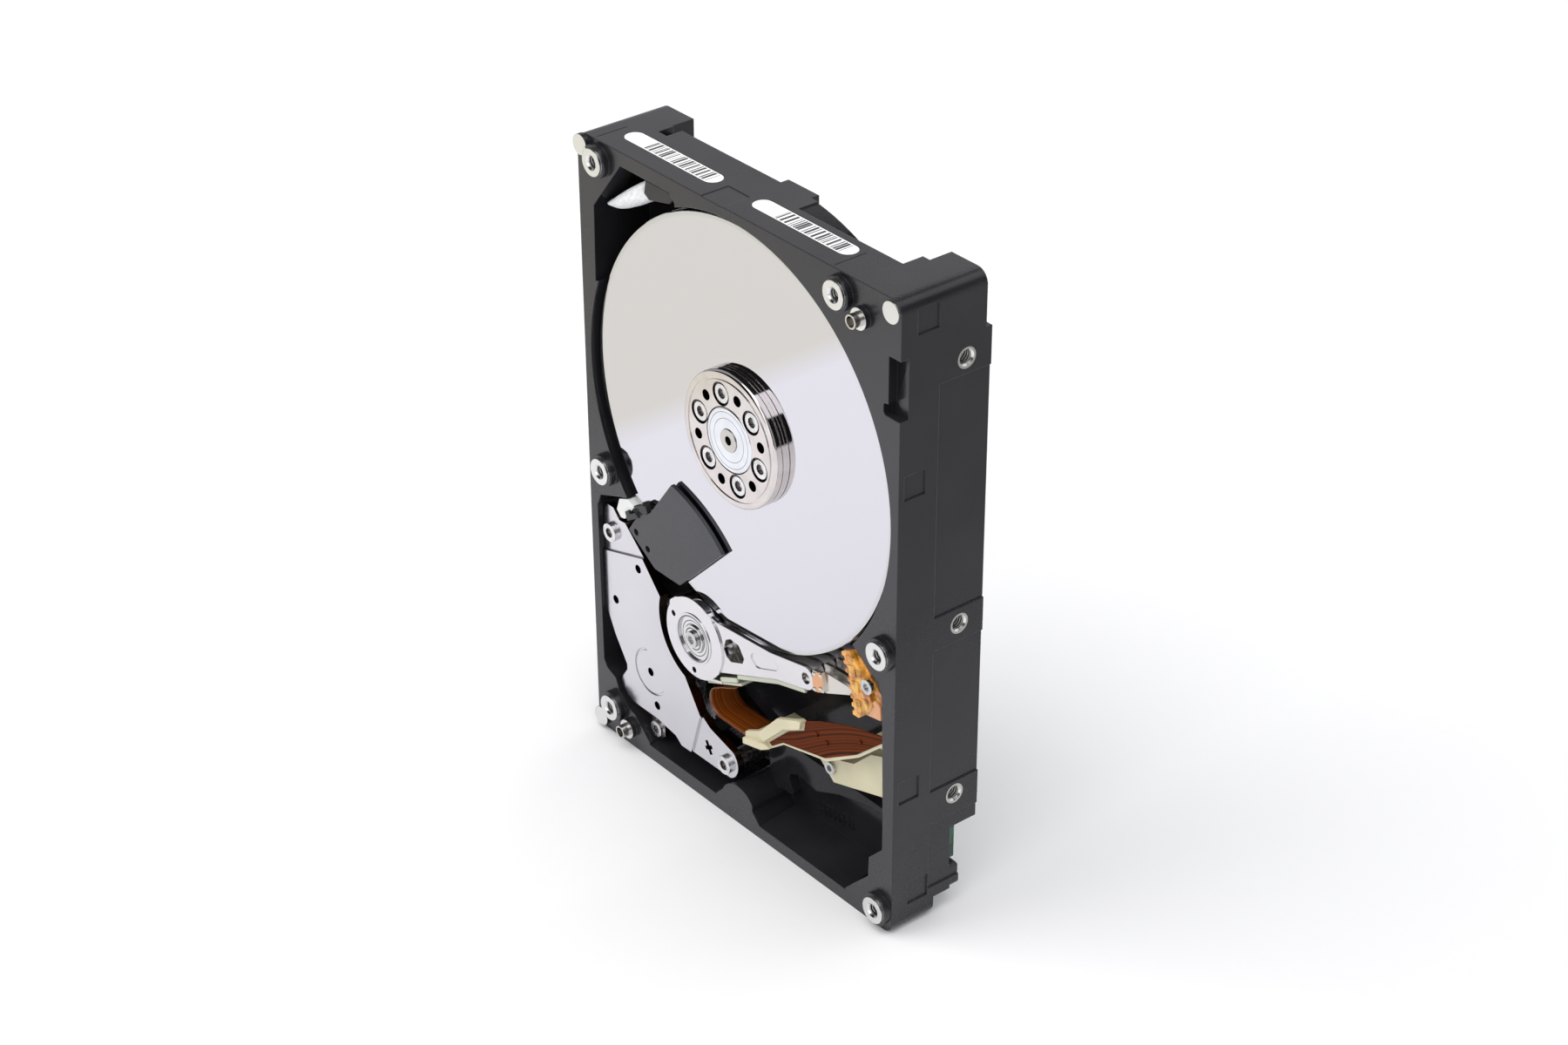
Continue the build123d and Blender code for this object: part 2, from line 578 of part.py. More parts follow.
with BuildPart() as disk_clamp:
    with BuildSketch(SPIN.offset(-CLAMP_TOP)):
        Circle(CLAMP_R)
        Circle(7.35, mode=Mode.SUBTRACT)
    extrude(amount=-(PLATTER_TOP - CLAMP_TOP))
    fillet(disk_clamp.edges().filter_by(GeomType.CIRCLE).group_by(Axis.Y)[0].sort_by(SortBy.RADIUS)[-1:], 0.7)
    # shallow ring turned in the face and relief below
    with BuildSketch(SPIN.offset(-CLAMP_TOP)):
        Circle(13.6)
        Circle(13.1, mode=Mode.SUBTRACT)
    extrude(amount=-0.2, mode=Mode.SUBTRACT)
    with BuildSketch(SPIN.offset(-PLATTER_TOP)):
        Circle(13.4)
        Circle(7.35, mode=Mode.SUBTRACT)
    extrude(amount=0.4, mode=Mode.SUBTRACT)
    # groove turned in the side
    with BuildSketch(SPIN.offset(-CLAMP_TOP - 1.7)):
        Circle(CLAMP_R)
        Circle(CLAMP_R - 0.4, mode=Mode.SUBTRACT)
    extrude(amount=-0.22, mode=Mode.SUBTRACT)
    # six counterbored screw holes and six small holes between them
    with BuildSketch(SPIN.offset(-CLAMP_TOP)):
        with PolarLocations(10.0, 6, start_angle=45):
            Circle(2.65)
    extrude(amount=-1.0, mode=Mode.SUBTRACT)
    with BuildSketch(SPIN.offset(-CLAMP_TOP)):
        with PolarLocations(10.0, 6, start_angle=45):
            Circle(1.1)
        with PolarLocations(10.5, 6, start_angle=15):
            Circle(1.2)
    extrude(amount=-3.0, mode=Mode.SUBTRACT)
disk_clamp.part.label = "disk_clamp"

with BuildPart() as clamp_screws:
    with BuildSketch(SPIN.offset(-CLAMP_TOP - 1.0)):
        with PolarLocations(10.0, 6, start_angle=45):
            Circle(2.1)
    extrude(amount=0.8)
    with BuildSketch(SPIN.offset(-CLAMP_TOP - 1.0)):
        with PolarLocations(10.0, 6, start_angle=45):
            Circle(0.95)
    extrude(amount=-5.0)
    with BuildSketch(SPIN.offset(-CLAMP_TOP - 0.2)):
        with PolarLocations(10.0, 6, start_angle=45):
            RegularPolygon(1.2, 6)
            RegularPolygon(1.2, 6, rotation=30)
    extrude(amount=-0.6, mode=Mode.SUBTRACT)
clamp_screws.part.label = "clamp_screws"


# =====================================================================
# voice-coil motor: two yokes, two magnets, standoffs, stops, screws
# =====================================================================
YOKE_TOP = 1.0
YOKE_T = 2.2
MAGNET_T = 2.2
LOWER_MAGNET = COIL_TOP + COIL_T + 0.4

with BuildPart() as upper_yoke:
    with BuildSketch(Plane.XZ.offset(RIM - YOKE_TOP)) as yoke_outline:
        with BuildLine():
            ThreePointArc((-27.9, 44.2), (-26.5, 33.8), (-19.6, 27.9))
            Polyline((-19.6, 27.9), (-14.4, 20.0), (-11.6, 18.2), (-3.6, 16.0))
            ThreePointArc((-3.6, 16.0), (-1.9, 12.4), (-4.6, 8.8))
            Polyline((-4.6, 8.8), (-21.3, 8.6), (-23.4, 10.2), (-30.0, 11.2), (-39.4, 11.2))
            Polyline((-39.4, 11.2), (-42.6, 13.4), (-43.0, 15.6), (-40.8, 18.8), (-40.8, 20.2))
            Polyline((-40.8, 20.2), (-44.8, 26.2), (-48.0, 32.6), (-48.0, 57.4), (-46.8, 58.8))
            Polyline(
                (-46.8, 58.8), (-44.8, 58.8), (-42.7, 56.6),
                (-40.6, 56.8), (-33.9, 50.8), (-27.9, 44.2),
            )
        make_face()
    extrude(amount=-YOKE_T)
    # the two screwed ends lie lower than the middle
    with BuildSketch(Plane.XZ.offset(RIM - YOKE_TOP)):
        with BuildLine():
            Polyline((-50.0, 46.2), (-33.0, 51.2), (-33.0, 62.0), (-50.0, 62.0), (-50.0, 46.2))
        make_face()
        with BuildLine():
            Polyline((-14.6, 19.6), (-18.4, 7.0), (0.0, 7.0), (0.0, 22.0), (-14.6, 19.6))
        make_face()
    extrude(amount=-0.5, mode=Mode.SUBTRACT)
    # lower screw tab
    with BuildSketch(Plane.XZ.offset(RIM - YOKE_TOP - 1.4)):
        with BuildLine():
            Polyline(
                (-33.8, 12.6), (-33.8, 6.9), (-32.4, 5.2), (-30.4, 5.0),
                (-29.2, 6.0), (-29.2, 12.6), (-33.8, 12.6),
            )
        make_face()
    extrude(amount=-0.8)
    # holes
    with BuildSketch(Plane.XZ.offset(RIM - YOKE_TOP)):
        with Locations(*YOKE_SCREWS):
            Circle(1.15)
        with Locations((-35.6, 47.6), (-44.2, 35.6), (-29.9, 14.7)):
            Circle(1.0)
        with Locations((-32.0, 22.6)):
            Circle(1.0)
        with Locations(Location((-12.1, 12.8), 30.0)):
            Rectangle(1.0, 3.4)
            Rectangle(2.6, 0.9)
        with Locations(TAB_SCREW):
            Circle(0.9)
    extrude(amount=-YOKE_T, mode=Mode.SUBTRACT)
    with BuildSketch(Plane.XZ.offset(RIM - YOKE_TOP)):
        with Locations((-32.0, 22.6)):
            Circle(5.7)
            Circle(5.2, mode=Mode.SUBTRACT)
        with BuildLine():
            Polyline((-32.0, 22.6), (-34.0, 30.4), (-20.0, 30.4), (-24.0, 17.0), (-32.0, 22.6))
        make_face(mode=Mode.SUBTRACT)
    extrude(amount=-0.3, mode=Mode.SUBTRACT)
upper_yoke.part.label = "upper_yoke"

with BuildPart() as lower_yoke:
    with BuildSketch(Plane.XZ.offset(RIM - LOWER_MAGNET - MAGNET_T)):
        with BuildLine():
            ThreePointArc((-27.9, 44.2), (-26.5, 33.8), (-19.6, 27.9))
            Polyline((-19.6, 27.9), (-14.4, 20.0), (-3.6, 16.0))
            ThreePointArc((-3.6, 16.0), (-1.9, 12.4), (-4.6, 8.8))
            Polyline((-4.6, 8.8), (-38.0, 10.6), (-42.0, 14.2), (-42.8, 20.0), (-47.8, 32.6))
            Polyline((-47.8, 32.6), (-47.8, 57.4), (-41.0, 56.6), (-27.9, 44.2))
        make_face()
    extrude(amount=-(FLOOR_DEPTH - LOWER_MAGNET - MAGNET_T))
lower_yoke.part.label = "lower_yoke"

with BuildPart() as upper_magnet:
    with BuildSketch(Plane.XZ.offset(RIM - YOKE_TOP - YOKE_T)):
        with Locations((PIV_X, PIV_Z)):
            Circle(29.5)
            Circle(15.2, mode=Mode.SUBTRACT)
        with BuildLine():
            Polyline((PIV_X, PIV_Z), (-54.3, 41.5), (-54.3, 0.8), (-23.0, 0.8), (PIV_X, PIV_Z))
        make_face(mode=Mode.INTERSECT)
    extrude(amount=-MAGNET_T)
upper_magnet.part.label = "upper_magnet"

with BuildPart() as lower_magnet:
    with BuildSketch(Plane.XZ.offset(RIM - LOWER_MAGNET)):
        with Locations((PIV_X, PIV_Z)):
            Circle(29.5)
            Circle(15.2, mode=Mode.SUBTRACT)
        with BuildLine():
            Polyline((PIV_X, PIV_Z), (-54.3, 41.5), (-54.3, 0.8), (-23.0, 0.8), (PIV_X, PIV_Z))
        make_face(mode=Mode.INTERSECT)
    extrude(amount=-MAGNET_T)
lower_magnet.part.label = "lower_magnet"

with BuildPart() as yoke_standoffs:
    with BuildSketch(Plane.XZ.offset(RIM - YOKE_TOP - YOKE_T)):
        with Locations(*YOKE_SCREWS):
            Circle(2.3)
            Circle(1.1, mode=Mode.SUBTRACT)
    extrude(amount=-(LOWER_MAGNET + MAGNET_T - YOKE_TOP - YOKE_T))
yoke_standoffs.part.label = "yoke_standoffs"

with BuildPart() as crash_stops:
    with BuildSketch(Plane.XZ.offset(RIM - YOKE_TOP - YOKE_T)):
        with Locations((-41.6, 43.2), (-16.6, 13.4)):
            Circle(1.5)
    extrude(amount=-(LOWER_MAGNET + MAGNET_T - YOKE_TOP - YOKE_T))
crash_stops.part.label = "crash_stops"

with BuildPart() as yoke_screws:
    with BuildSketch(Plane.XZ.offset(RIM - YOKE_TOP - 0.5)):
        with Locations(*YOKE_SCREWS):
            Circle(2.2)
    extrude(amount=0.9)
    with BuildSketch(Plane.XZ.offset(RIM - YOKE_TOP - 0.5)):
        with Locations(*YOKE_SCREWS):
            Circle(1.05)
    extrude(amount=-6.0)
    with BuildSketch(Plane.XZ.offset(RIM - YOKE_TOP + 0.4)):
        with Locations(*YOKE_SCREWS):
            RegularPolygon(1.2, 6)
            RegularPolygon(1.2, 6, rotation=30)
    extrude(amount=-0.6, mode=Mode.SUBTRACT)
yoke_screws.part.label = "yoke_screws"

with BuildPart() as tab_screw:
    with BuildSketch(Plane.XZ.offset(RIM - YOKE_TOP - 1.4)):
        with Locations(TAB_SCREW):
            Circle(1.9)
    extrude(amount=0.8)
    with BuildSketch(Plane.XZ.offset(RIM - YOKE_TOP - 1.4)):
        with Locations(TAB_SCREW):
            Circle(0.85)
    extrude(amount=-4.0)
    with BuildSketch(Plane.XZ.offset(RIM - YOKE_TOP - 0.6)):
        with Locations(TAB_SCREW):
            RegularPolygon(1.0, 6)
            RegularPolygon(1.0, 6, rotation=30)
    extrude(amount=-0.5, mode=Mode.SUBTRACT)
tab_screw.part.label = "tab_screw"


# =====================================================================
# actuator: arm block, bearing, coil, suspensions and heads
# =====================================================================
with BuildPart() as pivot_shaft:
    with BuildSketch(ARM.offset(0.5)):
        Circle(SHAFT_R)
    extrude(amount=-(0.5 + FLOOR_DEPTH + 1.2))
    with BuildSketch(ARM.offset(0.5)):
        Circle(0.9)
    extrude(amount=-3.5, mode=Mode.SUBTRACT)
pivot_shaft.part.label = "pivot_shaft"

with BuildPart() as pivot_screw:
    with BuildSketch(ARM.offset(0.5)):
        Circle(1.9)
    extrude(amount=0.7)
    with BuildSketch(ARM.offset(0.5)):
        Circle(0.85)
    extrude(amount=-3.0)
    with BuildSketch(ARM.offset(1.2)):
        RegularPolygon(1.0, 6)
        RegularPolygon(1.0, 6, rotation=30)
    extrude(amount=-0.5, mode=Mode.SUBTRACT)
pivot_screw.part.label = "pivot_screw"

with BuildPart() as pivot_bearing:
    with BuildSketch(ARM.offset(0.5)):
        Circle(5.9)
        Circle(SHAFT_R + RUN, mode=Mode.SUBTRACT)
    extrude(amount=-14.1)
    with BuildSketch(ARM.offset(0.5)):
        Circle(5.1)
        Circle(3.1, mode=Mode.SUBTRACT)
    extrude(amount=-0.4, mode=Mode.SUBTRACT)
pivot_bearing.part.label = "pivot_bearing"

with BuildPart() as arm_block:
    with BuildSketch(ARM.offset(0.3)):
        Circle(BLOCK_R)
    extrude(amount=-14.1)
    # flat top plate of the hub, clear of the first platter
    with BuildSketch(Plane.XZ.offset(RIM + 0.3)) as hub_plate:
        with BuildLine():
            Polyline((-22.7, 46.6), (-20.6, 48.4), (-18.6, 49.2), (-9.6, 49.4), (-7.8, 48.0), (-5.4, 40.2))
            Polyline((-5.4, 40.2), (-5.7, 36.0), (-8.6, 33.2), (-13.0, 32.4), (-18.9, 33.6), (-22.5, 40.4))
            Line((-22.5, 40.4), (-22.7, 46.6))
        make_face()
        fillet(hub_plate.vertices(), 1.2)
    extrude(amount=-1.3)
    with BuildSketch(
        ARM.offset(-ARM_MID + ARM_T / 2),
        ARM.offset(-ARM_MID - PITCH + ARM_T / 2),
        ARM.offset(-ARM_MID - 2 * PITCH + ARM_T / 2),
        ARM.offset(-ARM_MID - 3 * PITCH + ARM_T / 2),
        ARM.offset(-ARM_MID - 4 * PITCH + ARM_T / 2),
    ):
        with BuildLine():
            Polyline((2.0, 8.6), (9.4, 5.6), (27.0, 2.9), (38.0, 2.5))
            ThreePointArc((38.0, 2.5), (40.6, 0.0), (38.0, -2.8))
            Polyline((38.0, -2.8), (27.8, -3.0), (7.0, -6.4), (2.0, -6.4), (2.0, 8.6))
        make_face()
        with BuildLine():
            Polyline((10.0, 0.0), (11.4, 2.2), (13.2, 2.8), (15.8, 1.9), (17.0, -0.9), (16.1, -2.2))
            Polyline((16.1, -2.2), (11.8, -2.8), (10.6, -1.8), (10.0, 0.0))
        make_face(mode=Mode.SUBTRACT)
        with Locations((38.1, -0.2)):
            Circle(1.3, mode=Mode.SUBTRACT)
    extrude(amount=-ARM_T)
    with BuildSketch(ARM.offset(-ARM_MID + ARM_T / 2)):
        with BuildLine():
            Polyline((19.5, 0.0), (19.8, 0.8), (20.6, 1.35), (26.4, 1.9), (27.8, 1.45), (28.7, 0.2))
            Polyline((28.7, 0.2), (28.6, -0.6), (27.9, -1.05), (21.9, -1.9), (20.7, -1.75), (19.5, 0.0))
        make_face()
    extrude(amount=-0.25, mode=Mode.SUBTRACT)
    with BuildSketch(ARM.offset(0.3)):
        Circle(5.9)
    extrude(amount=-15.0, mode=Mode.SUBTRACT)
    # side clamp screw hole in the hub
    with BuildSketch(ARM.offset(0.3)):
        with Locations((-6.2, 4.6), (-2.0, -7.8)):
            Circle(0.7)
    extrude(amount=-3.0, mode=Mode.SUBTRACT)
arm_block.part.label = "arm_block"

with BuildPart() as voice_coil:
    with BuildSketch(COIL.offset(-COIL_TOP)):
        with BuildLine():
            Polyline((14.0, -5.6), (31.0, -11.2), (31.0, 11.2), (14.0, 5.6), (14.0, -5.6))
        make_face()
        Circle(30.4, mode=Mode.INTERSECT)
        with BuildLine():
            Polyline((18.0, -2.2), (26.4, -5.4), (26.4, 5.4), (18.0, 2.2), (18.0, -2.2))
        make_face(mode=Mode.SUBTRACT)
    extrude(amount=-COIL_T)
    fillet(voice_coil.edges().filter_by(Axis.Y).sort_by(Axis.X)[:1], 1.0)
voice_coil.part.label = "voice_coil"

with BuildPart() as coil_frame:
    with BuildSketch(COIL.offset(-COIL_TOP - 0.2)):
        with BuildLine():
            Polyline(
                (4.0, -7.6), (13.0, -6.6), (32.0, -12.8), (32.0, 12.8),
                (13.0, 6.6), (4.0, 7.6), (4.0, -7.6),
            )
        make_face()
        Circle(31.6, mode=Mode.INTERSECT)
        Circle(BLOCK_R, mode=Mode.SUBTRACT)
        with BuildLine():
            Polyline((14.0, -5.6), (31.0, -11.2), (31.0, 11.2), (14.0, 5.6), (14.0, -5.6))
        make_face(mode=Mode.SUBTRACT)
        with BuildLine():
            Polyline((18.0, -2.2), (26.4, -5.4), (26.4, 5.4), (18.0, 2.2), (18.0, -2.2))
        make_face()
    extrude(amount=-COIL_T + 0.4)
coil_frame.part.label = "coil_frame"

# one load beam per platter face: under the first four arms, above the last four
BEAM_T = 0.15
BEAM_OFF = 0.25         # arm mid-plane to the beam's near face
TAB_OFF = 0.46
DOWN = [ARM_MID + k * PITCH for k in range(4)]
UP = [ARM_MID + k * PITCH for k in range(1, 5)]
BEAM_PLANES = [ARM.offset(-d - BEAM_OFF) for d in DOWN] + [ARM.offset(-d + BEAM_OFF + BEAM_T) for d in UP]
TAB_PLANES = [ARM.offset(-d - TAB_OFF) for d in DOWN] + [ARM.offset(-d + TAB_OFF + 0.16) for d in UP]
FOOT_PLANES = [ARM.offset(-d - BEAM_OFF) for d in DOWN] + [ARM.offset(-d + BEAM_OFF + 0.37) for d in UP]
SLIDER_PLANES = [ARM.offset(-d - BEAM_OFF - BEAM_T) for d in DOWN] + [
    ARM.offset(-d + BEAM_OFF + BEAM_T + 0.25) for d in UP
]

with BuildPart() as suspensions:
    with BuildSketch(*BEAM_PLANES):
        with BuildLine():
            Polyline(
                (40.8, -2.6), (44.0, -2.4), (51.6, -0.9), (51.6, 0.9),
                (44.0, 2.4), (40.8, 2.6), (40.8, -2.6),
            )
        make_face()
    extrude(amount=-BEAM_T)
    with BuildSketch(*FOOT_PLANES):
        with Locations((51.9, 0.0)):
            Rectangle(0.7, 1.0)
    extrude(amount=-0.37)
    with BuildSketch(*TAB_PLANES):
        with Locations((54.0, 0.0)):
            Rectangle(3.8, 0.8)
    extrude(amount=-0.16)
suspensions.part.label = "suspensions"

with BuildPart() as head_sliders:
    with BuildSketch(*SLIDER_PLANES):
        with Locations((49.6, 0.0)):
            Rectangle(1.3, 1.0)
    extrude(amount=-0.25)
head_sliders.part.label = "head_sliders"

# mounting plates that carry the beams on the arm tips
with BuildPart() as beam_mounts:
    with BuildSketch(*[ARM.offset(-d + BEAM_OFF + BEAM_T) for d in DOWN + UP[3:]]):
        with BuildLine():
            Polyline((40.9, -2.4), (43.6, -2.2), (43.6, 2.2), (40.9, 2.4), (40.9, -2.4))
        make_face()
        with Locations((42.2, 0.0)):
            Circle(0.7, mode=Mode.SUBTRACT)
    extrude(amount=-2 * BEAM_OFF - 2 * BEAM_T)
    with BuildSketch(*[ARM.offset(-d + BEAM_OFF + BEAM_T + 0.01) for d in UP]):
        Rectangle(100.0, 12.0)
    extrude(amount=-BEAM_T - 0.01, mode=Mode.SUBTRACT)
    with BuildSketch(*[ARM.offset(-d - BEAM_OFF) for d in DOWN]):
        Rectangle(100.0, 12.0)
    extrude(amount=-BEAM_T - 0.01, mode=Mode.SUBTRACT)
beam_mounts.part.label = "beam_mounts"

# thin strips along the lower edge of each arm
with BuildPart() as arm_flexures:
    with BuildSketch(*[ARM.offset(-ARM_MID - k * PITCH + 0.3) for k in range(5)]):
        with BuildLine():
            Polyline(
                (13.2, -5.55), (27.8, -3.1), (36.8, -2.95), (36.8, -3.9),
                (27.8, -4.1), (13.2, -6.55), (13.2, -5.55),
            )
        make_face()
    extrude(amount=-0.6)
arm_flexures.part.label = "arm_flexures"

PREAMP = Plane(
    origin=(PIV_X, -RIM, PIV_Z),
    x_dir=(cos(radians(ARM_ANGLE + 10.0)), 0, sin(radians(ARM_ANGLE + 10.0))),
    z_dir=(0, -1, 0),
)
with BuildPart() as preamp_board:
    with BuildSketch(PREAMP.offset(-0.4)):
        with Locations((6.0, -10.1)):
            Rectangle(12.6, 0.6)
    extrude(amount=-12.6)
preamp_board.part.label = "preamp_board"

with BuildPart() as preamp_chip:
    with BuildSketch(PREAMP.offset(-4.6)):
        with Locations((7.6, -10.9)):
            Rectangle(5.0, 1.0)
    extrude(amount=-4.2)
preamp_chip.part.label = "preamp_chip"


# =====================================================================
# ramp that parks the head tabs
# =====================================================================
with BuildPart() as ramp:
    # backing block
    with BuildSketch(ARM.offset(0.3)):
        Circle(80.0)
        Circle(57.4, mode=Mode.SUBTRACT)
        with BuildLine():
            Polyline(
                (56.0, -3.0), (61.6, -4.0), (62.6, 1.8), (60.4, 4.4),
                (57.9, 8.7), (55.0, 10.0), (56.0, -3.0),
            )
        make_face(mode=Mode.INTERSECT)
        with BuildLine():
            Polyline((53.2, -1.8), (53.0, -4.9), (54.7, -4.8), (57.8, -3.0), (58.6, -1.8), (53.2, -1.8))
        make_face()
    extrude(amount=-14.7)
    # one shelf between each pair of platters, in line with the arms
    with BuildSketch(*[ARM.offset(-ARM_MID - k * PITCH + 0.15) for k in range(5)]):
        Circle(57.8)
        Circle(53.0, mode=Mode.SUBTRACT)
        with BuildLine():
            Polyline((0.0, 0.0), (70.0, -2.3), (70.0, 12.2), (0.0, 0.0))
        make_face(mode=Mode.INTERSECT)
    extrude(amount=-0.3)
    # cover shelf over the first beams
    with BuildSketch(ARM.offset(0.3)):
        Circle(57.8)
        Circle(53.0, mode=Mode.SUBTRACT)
        with BuildLine():
            Polyline((0.0, 0.0), (70.0, -2.3), (70.0, 12.2), (0.0, 0.0))
        make_face(mode=Mode.INTERSECT)
    extrude(amount=-(ARM_MID + 0.3))
    with BuildSketch(Plane.XZ.offset(RIM + 0.3)):
        with Locations((43.0, 58.2)):
            Circle(0.9)
    extrude(amount=-6.0, mode=Mode.SUBTRACT)
ramp.part.label = "ramp"

with BuildPart() as ramp_screw:
    with BuildSketch(Plane.XZ.offset(RIM + 0.3)):
        with Locations((43.0, 58.2)):
            Circle(1.65)
    extrude(amount=0.7)
    with BuildSketch(Plane.XZ.offset(RIM + 0.3)):
        with Locations((43.0, 58.2)):
            Circle(0.85)
    extrude(amount=-5.0)
    with BuildSketch(Plane.XZ.offset(RIM + 1.0)):
        with Locations((43.0, 58.2)):
            RegularPolygon(0.9, 6)
            RegularPolygon(0.9, 6, rotation=30)
    extrude(amount=-0.45, mode=Mode.SUBTRACT)
ramp_screw.part.label = "ramp_screw"


# =====================================================================
# air damper, its retainer, and the recirculation filter
# =====================================================================
with BuildPart() as air_damper:
    # plates over the first platter and between the others
    with BuildSketch(*[Plane.XZ.offset(RIM - ARM_MID - k * PITCH + 0.45) for k in range(4)]):
        with BuildLine():
            ThreePointArc((-21.7, 75.4), (-12.4, 72.0), (-4.6, 66.2))
            Polyline(
                (-4.6, 66.2), (-19.4, 51.6), (-28.2, 51.6),
                (-37.2, 57.4), (-33.8, 62.4), (-29.4, 65.0),
            )
            Line((-29.4, 65.0), (-21.7, 75.4))
        make_face()
    extrude(amount=-0.9)
    # column outside the platters
    with BuildSketch(Plane.XZ.offset(RIM - ARM_MID + 0.45)):
        with BuildLine():
            Polyline((-4.6, 66.2), (-19.4, 51.6), (-28.2, 51.6), (-37.2, 57.4), (-33.8, 62.4), (-4.6, 66.2))
        make_face()
        with Locations((0, SPIN_Z)):
            Circle(48.1, mode=Mode.SUBTRACT)
    extrude(amount=-(FLOOR_DEPTH - 1.4))
    with BuildSketch(Plane.XZ.offset(RIM - ARM_MID + 0.45)):
        with Locations((-34.6, 57.8), (-30.6, 55.4)):
            Circle(0.8)
    extrude(amount=-3.0, mode=Mode.SUBTRACT)
air_damper.part.label = "air_damper"

with BuildPart() as damper_retainer:
    with BuildSketch(Plane.XZ.offset(RIM - 0.2)):
        with BuildLine():
            Polyline(
                (-40.6, 63.4), (-41.6, 60.4), (-40.2, 59.0), (-38.8, 59.2),
                (-35.2, 63.8), (-37.4, 64.7), (-40.6, 63.4),
            )
        make_face()
    extrude(amount=-10.0)
damper_retainer.part.label = "damper_retainer"

with BuildPart() as recirculation_filter:
    with BuildSketch(Plane.XZ.offset(RIM - 1.0)):
        with BuildLine():
            Polyline((-45.4, 131.3), (-39.5, 135.9), (-33.8, 139.8), (-29.6, 142.0), (-29.6, 140.2))
            Polyline((-29.6, 140.2), (-28.4, 138.6), (-35.7, 133.7), (-41.0, 131.4), (-45.4, 131.3))
        make_face()
    extrude(amount=-10.0)
recirculation_filter.part.label = "recirculation_filter"

with BuildPart() as filter_holder:
    with BuildSketch(Plane.XZ.offset(RIM - 0.4)):
        with BuildLine():
            Polyline(
                (-28.2, 143.4), (-28.8, 140.4), (-27.2, 139.4),
                (-20.4, 141.0), (-19.0, 142.6), (-20.2, 143.4),
            )
            Line((-20.2, 143.4), (-28.2, 143.4))
        make_face()
        with Locations((0, SPIN_Z)):
            Circle(48.3, mode=Mode.SUBTRACT)
    extrude(amount=-13.6)
filter_holder.part.label = "filter_holder"


# =====================================================================
# flex circuit: bracket, feed-through, flat part and moving loop
# =====================================================================
BLOCK_SCREW = (26.0, 27.0)

with BuildPart() as flex_bracket:
    with BuildSketch(Plane.XZ.offset(RIM - 1.4)):
        with BuildLine():
            Polyline((1.0, 21.4), (8.2, 23.2), (14.0, 27.6), (28.2, 31.0), (38.2, 37.4), (46.2, 44.6))
            Polyline(
                (46.2, 44.6), (46.2, 45.9), (36.4, 42.9), (26.8, 39.0),
                (21.6, 36.4), (19.4, 36.8), (13.6, 33.4), (5.6, 26.6),
            )
            Polyline((5.6, 26.6), (1.0, 24.2), (1.0, 21.4))
        make_face()
    extrude(amount=-1.0)
    # two legs down to the floor
    with BuildSketch(Plane.XZ.offset(RIM - 2.4)):
        with Locations((43.4, 43.4)):
            Rectangle(3.0, 2.4)
        with Locations((3.2, 22.9)):
            Rectangle(3.0, 1.6)
    extrude(amount=-(FLOOR_DEPTH - 2.4))
    # clip that grips the loop
    with BuildSketch(Plane.XZ.offset(RIM - 1.4)):
        with BuildLine():
            Polyline((6.6, 26.2), (8.6, 26.0), (15.1, 32.5), (18.4, 34.1), (20.4, 35.3), (20.7, 37.2))
            Polyline((20.7, 37.2), (19.4, 37.0), (13.0, 34.2), (6.6, 27.2), (6.6, 26.2))
        make_face()
    extrude(amount=1.1)
    # raised hook at the loop's end
    with BuildSketch(Plane.XZ.offset(RIM - 1.4)):
        with BuildLine():
            Polyline((1.0, 21.4), (7.2, 22.9), (10.0, 24.6), (8.4, 25.1), (1.0, 22.9), (1.0, 21.4))
        make_face()
    extrude(amount=0.8)
flex_bracket.part.label = "flex_bracket"

with BuildPart() as bracket_flex:
    with BuildSketch(Plane.XZ.offset(RIM - 1.4)):
        with BuildLine():
            Polyline((10.3, 25.4), (14.0, 28.2), (27.8, 31.7), (37.8, 38.0), (45.9, 45.2), (45.9, 46.8))
            Polyline((45.9, 46.8), (36.0, 44.1), (26.6, 40.3), (21.4, 37.6), (20.9, 34.9), (15.7, 32.0))
            Polyline((15.7, 32.0), (9.3, 25.8), (10.3, 25.4))
        make_face()
    extrude(amount=0.2)
    # heat stakes
    with BuildSketch(Plane.XZ.offset(RIM - 1.2)):
        with Locations((25.1, 36.3), (28.3, 35.9), (38.9, 41.8)):
            Circle(0.55)
    extrude(amount=0.35)
bracket_flex.part.label = "bracket_flex"

with BuildPart() as feedthrough_block:
    with BuildSketch(Plane.XZ.offset(RIM - 4.6)):
        with BuildLine():
            Polyline(
                (21.4, 27.6), (26.6, 23.4), (43.6, 28.6), (44.6, 31.6),
                (42.6, 38.4), (38.4, 36.8), (33.0, 31.6),
            )
            Polyline((33.0, 31.6), (27.2, 29.6), (21.4, 27.6))
        make_face()
    extrude(amount=-(FLOOR_DEPTH - 4.6))
    with BuildSketch(Plane.XZ.offset(RIM - 4.6)):
        with Locations(BLOCK_SCREW):
            Circle(0.95)
    extrude(amount=-8.0, mode=Mode.SUBTRACT)
feedthrough_block.part.label = "feedthrough_block"

with BuildPart() as bracket_screw:
    with BuildSketch(Plane.XZ.offset(RIM - 4.6)):
        with Locations(BLOCK_SCREW):
            Circle(1.5)
    extrude(amount=0.8)
    with BuildSketch(Plane.XZ.offset(RIM - 4.6)):
        with Locations(BLOCK_SCREW):
            Circle(0.85)
    extrude(amount=-7.0)
    with BuildSketch(Plane.XZ.offset(RIM - 3.8)):
        with Locations(BLOCK_SCREW):
            RegularPolygon(0.8, 6)
    extrude(amount=-0.45, mode=Mode.SUBTRACT)
bracket_screw.part.label = "bracket_screw"

